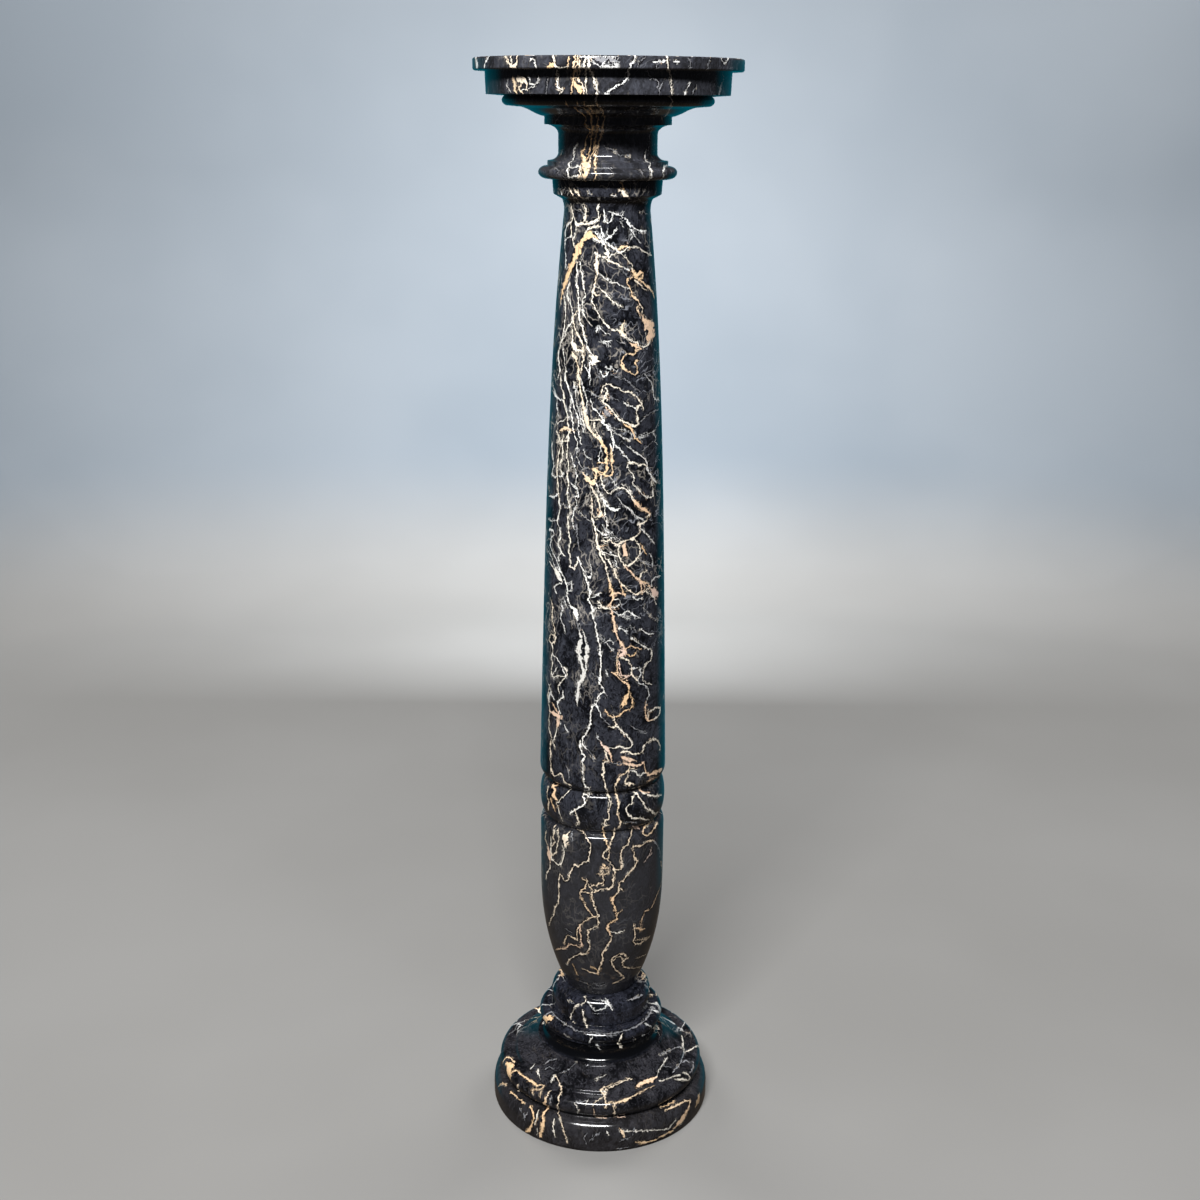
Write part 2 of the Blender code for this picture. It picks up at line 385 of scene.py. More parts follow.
# Marble
# Scales of noises and cells are per metre. "patches" is the noise by which a pattern comes and
# goes: its scale, its detail, and the two values between which the pattern fades in.
marbleColours = {
    "dark": (0.0020, 0.0022, 0.0029),
    "cloud": (0.027, 0.028, 0.034),
    "smoke": (0.064, 0.067, 0.080),
    "calm": (0.029, 0.028, 0.029),       # where the clouds and the grain give out
    "white": (0.87, 0.87, 0.85),
    "cream": (0.84, 0.76, 0.63),
    "gold": (0.75, 0.51, 0.29),
    "pink": (0.74, 0.55, 0.45),
    "gray": (0.24, 0.245, 0.26),
    "thread": (0.56, 0.50, 0.41),
}


class NodeDesk:
    # Short calls for the nodes of one material, or of the air.
    def __init__(self, owner):
        owner.use_nodes = True
        self.tree = owner.node_tree
        self.tree.nodes.clear()

    def add(self, kind, settings=None, **inputs):
        node = self.tree.nodes.new(kind)
        for key, value in (settings or {}).items():
            setattr(node, key, value)
        for key, value in inputs.items():
            self.put(node, key.replace("_", " "), value)
        return node

    def put(self, node, socket, value):
        target = node.inputs[socket]
        if isinstance(value, bpy.types.NodeSocket):
            self.tree.links.new(value, target)
        else:
            target.default_value = value

    def maths(self, operation, a, b=0.0, c=0.0, clamp=False):
        node = self.add("ShaderNodeMath", {"operation": operation, "use_clamp": clamp})
        for index, value in enumerate((a, b, c)):
            self.put(node, index, value)
        return node.outputs[0]

    def times(self, value, *others):
        for other in others:
            value = self.maths("MULTIPLY", value, other)
        return value

    def vector(self, operation, a, b=(0.0, 0.0, 0.0), scale=1.0):
        node = self.add("ShaderNodeVectorMath", {"operation": operation})
        self.put(node, 0, a)
        self.put(node, 1, b)
        if operation == "SCALE":
            self.put(node, "Scale", scale)
        return node.outputs[0]

    def axes(self, vector):
        return self.add("ShaderNodeSeparateXYZ", None, Vector=vector).outputs

    def attribute(self, name, output="Vector"):
        return self.add("ShaderNodeAttribute", {"attribute_name": name}).outputs[output]

    def noise(self, place, scale, detail=2.0, rough=0.5, output="Fac"):
        node = self.add("ShaderNodeTexNoise", None, Vector=place, Scale=scale, Detail=detail, Roughness=rough)
        return node.outputs[output]

    def swirl(self, place, scale, detail, rough):
        # A noise for each axis, with 0 in its middle.
        colour = self.noise(place, scale, detail, rough, "Color")
        return self.vector("SUBTRACT", colour, (0.5, 0.5, 0.5))

    def pushed(self, place, swirl, reach):
        return self.vector("ADD", place, self.vector("SCALE", swirl, scale=reach))

    def ramp(self, value, low, high, start=0.0, end=1.0):
        node = self.add("ShaderNodeMapRange", {"interpolation_type": "SMOOTHSTEP"})
        for index, number in enumerate((value, low, high, start, end)):
            self.put(node, index, number)
        return node.outputs[0]

    def patches(self, place, scale, detail, low, high, start=0.0, end=1.0):
        return self.ramp(self.noise(place, scale, detail), low, high, start, end)

    def walls(self, place, cells, thin, thick):
        # The walls between cells: 1 up to thin from a wall's middle, 0 from thick.
        node = self.add("ShaderNodeTexVoronoi", {"feature": "DISTANCE_TO_EDGE"}, Vector=place, Scale=cells)
        return self.ramp(node.outputs["Distance"], thin, thick, 1.0, 0.0)

    def mix(self, share, a, b, blend="MIX"):
        node = self.add("ShaderNodeMix", {"data_type": "RGBA", "blend_type": blend})
        self.put(node, 0, share)
        for index, value in ((6, a), (7, b)):
            self.put(node, index, value if isinstance(value, bpy.types.NodeSocket) else (*value, 1.0))
        return node.outputs[2]


# The folds of the stone: noises push the places about that its patterns read
foldLook = {
    "pushes": ((9.0, 2.0, 0.5, 0.06), (42.0, 3.0, 0.6, 0.016), (210.0, 2.0, 0.6, 0.0032)),
    "seedStep": (0.37, 0.21, 0.53),      # how far one step of a stone's seed moves its patterns
    "tall": (1.0, 1.0, 0.55),            # less than 1 makes cells taller than wide
    "wiggle": (95.0, 3.0, 0.7),
    "frayed": 0.0045,                    # metres that the wiggle pushes, for thin walls
    "ragged": 0.0075,                    # for broad ones
}


def foldedPlaces(desk, seed):
    here = desk.add("ShaderNodeTexCoord").outputs["Object"]
    plain = desk.vector("ADD", here, [seed * step for step in foldLook["seedStep"]])
    folded = plain
    for scale, detail, rough, reach in foldLook["pushes"]:
        folded = desk.pushed(folded, desk.swirl(plain, scale, detail, rough), reach)
    tall = desk.vector("MULTIPLY", folded, foldLook["tall"])
    wiggle = desk.swirl(plain, *foldLook["wiggle"])
    return {
        "axes": desk.axes(here),         # true metres, for what depends on height or side
        "plain": plain,
        "folded": folded,
        "frayed": desk.pushed(tall, wiggle, foldLook["frayed"]),
        "ragged": desk.pushed(tall, wiggle, foldLook["ragged"]),
    }


# Veins of the sides that the photograph doesn't show: the walls between ragged cells of two sizes,
# which swell, thin out and die away
hiddenLook = {
    "nets": (
        {"cells": 27.0, "shift": 3.1, "thin": 0.010, "thick": 0.045, "patches": (21.0, 2.0, 0.42, 0.48)},
        {"cells": 56.7, "shift": 5.7, "thin": 0.012, "thick": 0.050, "patches": (21.0, 2.0, 0.46, 0.52)},
    ),
    "aside": (1.7, 0.4),                 # how far, in y and z, the swelling is read off to the side
    "swell": (46.0, 3.0, 0.35, 0.72),
    "solid": 0.55,                       # share of a wall's width before it starts to fade
}


def hiddenVeins(desk, places):
    veins = 0.0
    for net in hiddenLook["nets"]:
        moved = desk.vector("ADD", places["plain"], (net["shift"], *hiddenLook["aside"]))
        swell = desk.patches(moved, *hiddenLook["swell"], net["thin"], net["thick"])
        ragged = desk.vector("ADD", places["ragged"], (net["shift"], 0.0, 0.0))
        walls = desk.walls(ragged, net["cells"], desk.times(swell, hiddenLook["solid"]), swell)
        walls = desk.times(walls, desk.patches(moved, *net["patches"]))
        veins = desk.maths("MAXIMUM", veins, walls)
    return desk.times(veins, desk.attribute("behind", "Fac"))


# Fine lines, all round: a broken net of threads, hairlines that lean on the viewer's right, and a
# net of tall cells on the left
fineLook = {
    "threads": {
        "cells": 105.0, "walls": (0.016, 0.045), "strength": 0.34,
        "shift": (0.7, 0.2, 0.9), "patches": (30.0, 3.0, 0.54, 0.60),
    },
    "hairs": {
        "lean": 0.55, "stretch": (0.30, 1.0, 1.3), "noise": (62.0, 2.0, 0.55), "width": (0.0052, 0.013),
        "onTheLeft": 0.35, "strength": 0.75,
        "shift": (1.3, 0.4, 2.2), "patches": (26.0, 2.0, 0.50, 0.60),
    },
    "uprights": {
        "cells": 150.0, "stretch": (1.0, 1.0, 0.45), "walls": (0.020, 0.060), "strength": 0.42,
        "shift": (0.6, 2.4, 1.2), "patches": (26.0, 2.0, 0.50, 0.56),
    },
    "left": (-0.014, 0.006),             # metres across, between which the left side ends
}


def threadLines(desk, places):
    look = fineLook["threads"]
    shifted = desk.vector("ADD", places["frayed"], look["shift"])
    walls = desk.walls(shifted, look["cells"], *look["walls"])
    return desk.times(walls, desk.patches(places["plain"], *look["patches"]))


def hairLines(desk, places, leftSide):
    # Hairlines run where a drawn-out noise passes through its middle value.
    look = fineLook["hairs"]
    leaning = desk.add("ShaderNodeVectorRotate", {"rotation_type": "Y_AXIS"},
                       Vector=places["folded"], Angle=look["lean"]).outputs[0]
    value = desk.noise(desk.vector("MULTIPLY", leaning, look["stretch"]), *look["noise"])
    offMiddle = desk.maths("ABSOLUTE", desk.maths("SUBTRACT", value, 0.5))
    lines = desk.ramp(offMiddle, *look["width"], 1.0, 0.0)
    gate = desk.patches(desk.vector("ADD", places["plain"], look["shift"]), *look["patches"])
    return desk.times(lines, gate, desk.ramp(leftSide, 0.0, 1.0, 1.0, look["onTheLeft"]))


def uprightLines(desk, places, leftSide):
    look = fineLook["uprights"]
    stretched = desk.vector("MULTIPLY", places["frayed"], look["stretch"])
    walls = desk.walls(stretched, look["cells"], *look["walls"])
    gate = desk.patches(desk.vector("ADD", places["plain"], look["shift"]), *look["patches"])
    return desk.times(walls, gate, leftSide)


# The drawn veins. Lengths are in mm, as in the attributes
drawnLook = {
    "shake": (290.0, 3.0, 0.75),         # noise that shakes a vein off its line
    "shakeReach": 3.4,
    "nick": (800.0, 1.0),                # a finer one
    "nickReach": 0.8,
    "pulse": (170.0, 2.0, 0.34, 0.66, 0.50, 1.40),       # where veins thin out and swell, and how much
    "edge": (-0.15, 0.12),               # how far inside the vein its colour fades in
    "ownGround": (0.5, 1.0),             # how far outside it the shaking may carry it
    "flecks": (520.0, 3.0, 0.7),         # noise of the dark holes in broad veins
    "fleckStretch": (1.0, 1.0, 0.5),
    "fleckFade": (0.57, 0.66, 0.0, 0.75),
    "fleckedFrom": (0.9, 1.6),           # half width between which the holes come in
    "spurCells": 240.0,
    "spurWalls": (0.025, 0.065),
    "spurPatches": (80.0, 2.0, 0.52, 0.58),
    "spurReach": (0.2, 1.5, 0.55, 0.0),  # from here to here beside a vein, from this strength to none
}


def centred(desk, noise, reach):
    # The noise, spread over reach to both sides of 0.
    return desk.maths("MULTIPLY_ADD", noise, 2.0 * reach, -reach)


def veinLayer(desk, layer, shake, pulse, flecks):
    # The half width less the shaken distance is how far inside the vein a point lies. Returns the
    # share of vein colour, the colour's number, and how near the vein is.
    look = drawnLook
    side, away, half = desk.axes(desk.attribute("veinLine%d" % layer))
    tint, strength = desk.axes(desk.attribute("veinLook%d" % layer))[:2]
    offset = desk.maths("ABSOLUTE", desk.maths("ADD", side, shake))
    inside = desk.maths("SUBTRACT", desk.times(half, pulse), offset)
    mask = desk.times(desk.ramp(inside, *look["edge"]), desk.ramp(away, *look["ownGround"], 1.0, 0.0))
    holes = desk.times(flecks, desk.ramp(half, *look["fleckedFrom"]))
    return desk.times(mask, desk.maths("SUBTRACT", 1.0, holes), strength), tint, away


def drawnVeins(desk, places):
    # Of the layers, the one with the most colour shows.
    look, plain = drawnLook, places["plain"]
    shake = desk.maths("ADD", centred(desk, desk.noise(plain, *look["shake"]), look["shakeReach"]),
                       centred(desk, desk.noise(plain, *look["nick"]), look["nickReach"]))
    pulse = desk.patches(plain, *look["pulse"])
    flecks = desk.noise(desk.vector("MULTIPLY", plain, look["fleckStretch"]), *look["flecks"])
    flecks = desk.ramp(flecks, *look["fleckFade"])
    drawn, tint, nearest = veinLayer(desk, 0, shake, pulse, flecks)
    for layer in range(1, veinDrawing["layers"]):
        mask, layerTint, away = veinLayer(desk, layer, shake, pulse, flecks)
        over = desk.maths("GREATER_THAN", mask, drawn)
        tint = desk.maths("MULTIPLY_ADD", desk.maths("SUBTRACT", layerTint, tint), over, tint)
        drawn = desk.maths("MAXIMUM", drawn, mask)
        nearest = desk.maths("MINIMUM", nearest, away)
    # spurs: short branches off the drawn veins, along the walls of very fine cells
    spurs = desk.times(desk.walls(places["frayed"], look["spurCells"], *look["spurWalls"]),
                       desk.patches(plain, *look["spurPatches"]), desk.ramp(nearest, *look["spurReach"]))
    return desk.maths("MAXIMUM", drawn, spurs), tint, nearest


# The stone between the veins. A fade gives two values of the noise, then the shares at them
groundLook = {
    "clouds": {"stretch": (1.0, 1.0, 0.6), "noise": (46.0, 7.0, 0.74), "fade": (0.39, 0.59)},
    "streaks": {"stretch": (1.0, 1.0, 0.16), "noise": (95.0, 4.0, 0.65), "fade": (0.54, 0.74, 0.0, 0.55)},
    "grain": {"stretch": (1.0, 1.0, 0.5), "noise": (430.0, 3.0, 0.7)},
    "paleGrain": (0.56, 0.66, 0.0, 0.55),
    "darkGrain": (0.38, 0.48, 0.75, 0.0),
    "halo": (-0.8, 1.6, 0.30, 1.0),      # mm from a vein, and how light the stone is there
    "paintedShadeEdge": (0.002, 0.003),           # metres over which the painted shade in the hollow fades in and out
}


def ground(desk, places, nearest, size):
    def stretchedNoise(look):
        return desk.noise(desk.vector("MULTIPLY", places["folded"], look["stretch"]), *look["noise"])

    look, colours = groundLook, marbleColours
    across, height = places["axes"][0], places["axes"][2]
    clouds, streaks, grain = [stretchedNoise(look[kind]) for kind in ("clouds", "streaks", "grain")]
    stone = desk.mix(desk.ramp(clouds, *look["clouds"]["fade"]), colours["dark"], colours["cloud"])
    stone = desk.mix(desk.ramp(streaks, *look["streaks"]["fade"]), stone, colours["smoke"])
    stone = desk.mix(desk.ramp(grain, *look["paleGrain"]), stone, colours["smoke"])
    stone = desk.mix(desk.ramp(grain, *look["darkGrain"]), stone, colours["dark"])
    stone = desk.mix(desk.ramp(height, *size["calm"]), stone, colours["calm"])

    leftSide = desk.ramp(across, *fineLook["left"], 1.0, 0.0)
    often = desk.ramp(height, *size["fineLines"])
    for kind, lines, colour, share in (
            ("threads", threadLines(desk, places), "thread", 1.0),
            ("hairs", hairLines(desk, places, leftSide), "gray", 1.0),
            ("uprights", uprightLines(desk, places, leftSide), "thread", size["uprights"])):
        stone = desk.mix(desk.times(lines, often, share, fineLook[kind]["strength"]), stone, colours[colour])

    halo = desk.ramp(nearest, *look["halo"])
    stone = desk.mix(1.0, stone, desk.mix(halo, (0.0, 0.0, 0.0), size["tint"]), "MULTIPLY")
    # Painted shade: between two heights the hollow under the drum's ring is turned to the dark stone colour,
    # standing in for the ring's shadow.
    if "hollowPaintedShade" in size:
        low, high = size["hollowPaintedShade"]
        start, end = look["paintedShadeEdge"]
        hollowPaintedShade = desk.times(desk.ramp(height, low - start, low + start),
                         desk.ramp(height, high - end, high + start, 1.0, 0.0))
        stone = desk.mix(hollowPaintedShade, stone, colours["dark"])
    return stone


veinPaint = {
    "names": ("white", "cream", "gold", "pink", "gray"),     # in the order of their numbers
    "mottle": (260.0, 2.0),              # noise that varies the colour along a drawn vein
    "mottleReach": 0.08,
    "creamPatches": (17.0, 1.0, 0.42, 0.60),     # where the hidden veins are cream, not white
    "goldPatches": (40.0, 2.0, 0.46, 0.64),      # where they are gold
}


def hiddenColour(desk, plain):
    colours = marbleColours
    cream = desk.mix(desk.patches(plain, *veinPaint["creamPatches"]), colours["white"], colours["cream"])
    return desk.mix(desk.patches(plain, *veinPaint["goldPatches"]), cream, colours["gold"])


def drawnColour(desk, plain, tint):
    palette = desk.add("ShaderNodeValToRGB")
    stops, names = palette.color_ramp.elements, veinPaint["names"]
    while len(stops) < len(names):
        stops.new(0.5)
    for index, name in enumerate(names):
        stops[index].position = index / (len(names) - 1)
        stops[index].color = (*marbleColours[name], 1.0)
    mottle = centred(desk, desk.noise(plain, *veinPaint["mottle"]), veinPaint["mottleReach"])
    number = desk.maths("DIVIDE", tint, len(names) - 1.0)
    desk.put(palette, "Fac", desk.maths("ADD", number, mottle, clamp=True))
    return palette.outputs["Color"]


polishLook = {
    "roughness": (0.096, 0.162),
    "dulling": (90.0, 4.0, 0.3, 0.7),    # patches of more and less gloss
    "veinDullness": 0.07,                # what a vein adds to the roughness
    "ior": 1.47,
    "bump": 0.00002,
    "bumpStrength": 0.25,
    "bumpNoise": (300.0, 3.0),
}


def marbleMaterial(name, size):
    material = bpy.data.materials.new(name)
    desk = NodeDesk(material)
    places = foldedPlaces(desk, size["seed"])
    plain = places["plain"]
    hidden = hiddenVeins(desk, places)
    drawn, tint, nearest = drawnVeins(desk, places)
    stone = ground(desk, places, nearest, size)
    stone = desk.mix(hidden, stone, hiddenColour(desk, plain))
    stone = desk.mix(drawn, stone, drawnColour(desk, plain, tint))

    look = polishLook
    rough = desk.patches(plain, *look["dulling"], *look["roughness"])
    rough = desk.maths("MULTIPLY_ADD", desk.maths("MAXIMUM", hidden, drawn), look["veinDullness"], rough)
    bump = desk.add("ShaderNodeBump", None, Strength=look["bumpStrength"], Distance=look["bump"],
                    Height=desk.noise(plain, *look["bumpNoise"]))
    shader = desk.add("ShaderNodeBsdfPrincipled", None, Roughness=rough, Normal=bump.outputs[0])
    desk.put(shader, "Base Color", stone)
    desk.put(shader, "IOR", look["ior"])
    desk.put(desk.add("ShaderNodeOutputMaterial"), "Surface", shader.outputs[0])
    return material


def dressStone(stone, node, material):
    stone.data.materials.append(material)
    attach(stone, "root")
    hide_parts(node)


seatGap = 0.0003         # between two stones, as in the solids
arris = 0.0005           # how far a turned edge is eased

# Foot
# Beside its sizes, each stone has what sets its marble apart. "fineLines" gives two heights and how
# common the fine lines are at them, "calm" how even the ground is at them. "warmed" lists groups of
# veins: the colours they run from and to, the pixel row they lie below, their step and the share of
# their strength that is left.
footStone = {
    "discRadius": 0.1187, "soleRadius": 0.1178, "heel": 0.0030, "side": 0.0120, "round": 0.0175,
    "shelfRadius": 0.1065, "grooveRadius": 0.1050, "groove": 0.0035,
    "rimRadius": 0.1115, "rimBulge": 0.0080, "rim": 0.0185,
    "bandRadius": 0.0950, "step": 0.0030, "slopeRadius": 0.0930, "slope": 0.0150, "slopeHollow": 0.30,
    "seatRadius": 0.0695, "seatEdge": 0.0010,
    "spacing": 0.0013, "frontColumns": 140, "backColumns": 60,
    "unseen": (98.0, 128.0),             # degrees round from the front, where the photograph gives out
    "seed": 3.0, "tint": (0.90, 0.85, 0.83),
    "warmed": ({"from": 0.0, "to": 1.3, "belowRow": 0, "step": 0.5, "strength": 0.88},),
    "fineLines": (0.0, 1.0, 0.10, 0.10), "uprights": 0.0, "calm": (0.040, 0.050, 0.36, 0.0),
}


def footOutline(size, z):
    rows = [[(0.0, z), (size["soleRadius"], z)]]
    z += size["heel"]
    rows.append([(size["discRadius"], z)])
    z += size["side"]
    rows.append(uprightThenFlat(size["discRadius"], z, size["shelfRadius"], z + size["round"]))
    z += size["round"]
    rows.append([(size["grooveRadius"], z), (size["grooveRadius"], z + size["groove"])])
    z += size["groove"]
    rows.append(oval(size["rimRadius"], size["rimBulge"], z, z + size["rim"], -84, 84))
    z += size["rim"]
    rows.append([(size["bandRadius"], z)])
    z += size["step"]
    slopeTop = z + size["slope"]
    rows.append(hollowSlope(size["slopeRadius"], z, size["seatRadius"], slopeTop, size["slopeHollow"]))
    z = slopeTop + size["seatEdge"]
    rows.append([(size["seatRadius"], z), (0.0, z)])
    return np.concatenate([np.array(part, dtype=float) for part in rows]), z


# Base drum
drumFoot = float(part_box("base_drum")[0][2])
drumStone = {
    "hollowFoot": 0.0665, "hollowWaist": 0.0605, "hollowLow": 0.0095, "hollowHigh": 0.0110,
    "ringFoot": 0.0645, "ringRadius": 0.0673, "ringBulge": 0.0088, "ring": 0.0165,
    "quirkRadius": 0.0530, "quirk": 0.0015,
    "drumRadius": 0.0543, "side": 0.0150, "shoulderInset": 0.0005, "shoulder": 0.0135, "topRadius": 0.0440,
    "spacing": 0.0014, "frontColumns": 90, "backColumns": 45,
    "unseen": (72.0, 96.0),
    "seed": 5.0, "tint": (0.66, 0.68, 0.79), "warmed": (),
    "fineLines": (0.0, 1.0, 0.15, 0.15), "uprights": 0.0, "calm": (0.0, 1.0, 0.0, 0.0),
    "hollowPaintedShade": (drumFoot, drumFoot + 0.0215),        # heights between which painted shade darkens the hollow under the ring
}


def drumOutline(size, z):
    waist = z + size["hollowLow"]
    rows = [[(0.0, z)], flatThenUpright(size["hollowFoot"], z, size["hollowWaist"], waist)]
    z = waist + size["hollowHigh"]
    rows.append(uprightThenFlat(size["hollowWaist"], waist, size["ringFoot"], z)[1:])
    rows.append(oval(size["ringRadius"], size["ringBulge"], z, z + size["ring"], -50, 84))
    z += size["ring"]
    rows.append([(size["quirkRadius"], z), (size["quirkRadius"], z + size["quirk"])])
    z += size["quirk"]
    rows.append([(size["drumRadius"], z), (size["drumRadius"], z + size["side"])])
    z += size["side"]
    rows.append(uprightThenFlat(size["drumRadius"] - size["shoulderInset"], z, size["topRadius"],
                                z + size["shoulder"]))
    z += size["shoulder"]
    rows.append([(0.0, z)])
    return np.concatenate([np.array(part, dtype=float) for part in rows]), z


# Shaft
shaftStone = {
    "urnFoot": 0.0386, "urnRadius": 0.0654, "belly": 0.1340, "fullness": 2.35, "urnSide": 0.0570,
    "grooveRadius": 0.0597, "groove": 0.0040, "shoulder": 0.0090, "beadRadius": 0.0656, "bead": 0.0405,
    "footRadius": 0.0658, "taper": 0.0130, "swell": 0.0118, "swellPower": 4, "length": 0.5654,
    "flare": 0.0114, "flareRadius": 0.0444, "neckingEdge": 0.0036,
    "neckingLow": 0.0512, "neckingRadius": 0.0523, "necking": 0.0136,
    "spacing": 0.00192, "frontColumns": 66, "backColumns": 17,
    "unseen": (72.0, 96.0),
    "seed": 0.0, "tint": (1.00, 1.02, 1.08),
    "warmed": ({"from": 1.4, "to": 3.0, "belowRow": 500, "step": 0.6, "strength": 1.0},
               {"from": 0.0, "to": 2.0, "belowRow": 790, "step": 0.5, "strength": 1.0}),
    "fineLines": (0.42, 0.62, 0.15, 1.0), "uprights": 1.0, "calm": (0.29, 0.38, 0.66, 0.0),
}


def shaftOutline(size, z):
    bellyTop = z + size["belly"]
    rows = [[(0.0, z)], swelling(size["urnFoot"], z, size["urnRadius"], bellyTop, size["fullness"])]
    z = bellyTop + size["urnSide"]
    rows.append(uprightThenFlat(size["urnRadius"], z, size["grooveRadius"], z + size["shoulder"]))
    z += size["shoulder"] + size["groove"]
    beadBulge = size["beadRadius"] - size["grooveRadius"]
    rows.append(oval(size["beadRadius"], beadBulge, z, z + size["bead"], -90, 90))
    z += size["bead"] + size["groove"]
    rows.append(flatThenUpright(size["grooveRadius"], z, size["footRadius"], z + size["shoulder"]))
    z += size["shoulder"]
    # the shaft narrows as taper t + swell t to the fourth, t being the height from 0 to 1
    t = np.linspace(0.0, 1.0, 60)
    radius = size["footRadius"] - size["taper"] * t - size["swell"] * t ** size["swellPower"]
    rows.append(np.stack([radius, z + size["length"] * t], axis=1)[1:])
    z += size["length"]
    rows.append(uprightThenFlat(radius[-1], z, size["flareRadius"], z + size["flare"])[1:])
    z += size["flare"] + size["neckingEdge"]
    rows.append([(size["neckingLow"], z), (size["neckingRadius"], z + size["necking"])])
    z += size["necking"]
    rows.append([(0.0, z)])
    return np.concatenate([np.array(part, dtype=float) for part in rows]), z


# Capital
capitalStone = {
    "collarFoot": 0.0560, "collarRadius": 0.0655, "collarBulge": 0.0085, "collar": 0.0119,
    "collarRing": 0.0568, "ringHeight": 0.0045,
    "neckRadius": 0.0466, "neckFoot": 0.0070, "neck": 0.0170, "neckHead": 0.0085,
    "filletRadius": 0.0596, "fillet": 0.0073,
    "ogeeFoot": 0.0605, "ogeeHead": 0.0820, "ogee": 0.0082, "ogeeBend": 0.60,
    "rollFoot": 0.0925, "rollFootHeight": 0.0008, "rollRadius": 0.0990, "rollBulge": 0.0065, "roll": 0.0100,
    "discLow": 0.1137, "discHigh": 0.1145, "disc": 0.0208,
    "slabRadius": 0.1256, "slabEdge": 0.0012, "slab": 0.0111,
    "spacing": 0.0015, "frontColumns": 127, "backColumns": 53,
    "unseen": (72.0, 96.0),
    "seed": 8.0, "tint": (1.30, 1.33, 1.40), "warmed": (),
    "fineLines": (0.0, 1.0, 0.25, 0.25), "uprights": 0.3, "calm": (0.0, 1.0, 0.3, 0.3),
}


def capitalOutline(size, z):
    rows = [[(0.0, z), (size["collarFoot"], z)],
            oval(size["collarRadius"], size["collarBulge"], z, z + size["collar"], -72, 72)]
    z += size["collar"]
    rows.append([(size["collarRing"], z)])
    z += size["ringHeight"]
    rows.append(flatThenUpright(size["collarRing"], z, size["neckRadius"], z + size["neckFoot"]))
    z += size["neckFoot"] + size["neck"]
    rows.append(uprightThenFlat(size["neckRadius"], z, size["filletRadius"], z + size["neckHead"]))
    z += size["neckHead"] + size["fillet"]
    rows.append([(size["filletRadius"], z)])
    rows.append(ogee(size["ogeeFoot"], z, size["ogeeHead"], z + size["ogee"], size["ogeeBend"]))
    z += size["ogee"] + size["rollFootHeight"]
    rows.append([(size["rollFoot"], z)])
    rows.append(oval(size["rollRadius"], size["rollBulge"], z, z + size["roll"], -80, 50))
    z += size["roll"]
    rows.append([(size["discLow"], z), (size["discHigh"], z + size["disc"])])
    z += size["disc"]
    edge = size["slabEdge"]
    rows.append([(size["slabRadius"] - edge, z), (size["slabRadius"], z + edge)])
    z += size["slab"]
    rows.append([(size["slabRadius"], z - edge), (size["slabRadius"] - edge, z), (0.0, z)])
    return np.concatenate([np.array(part, dtype=float) for part in rows]), z


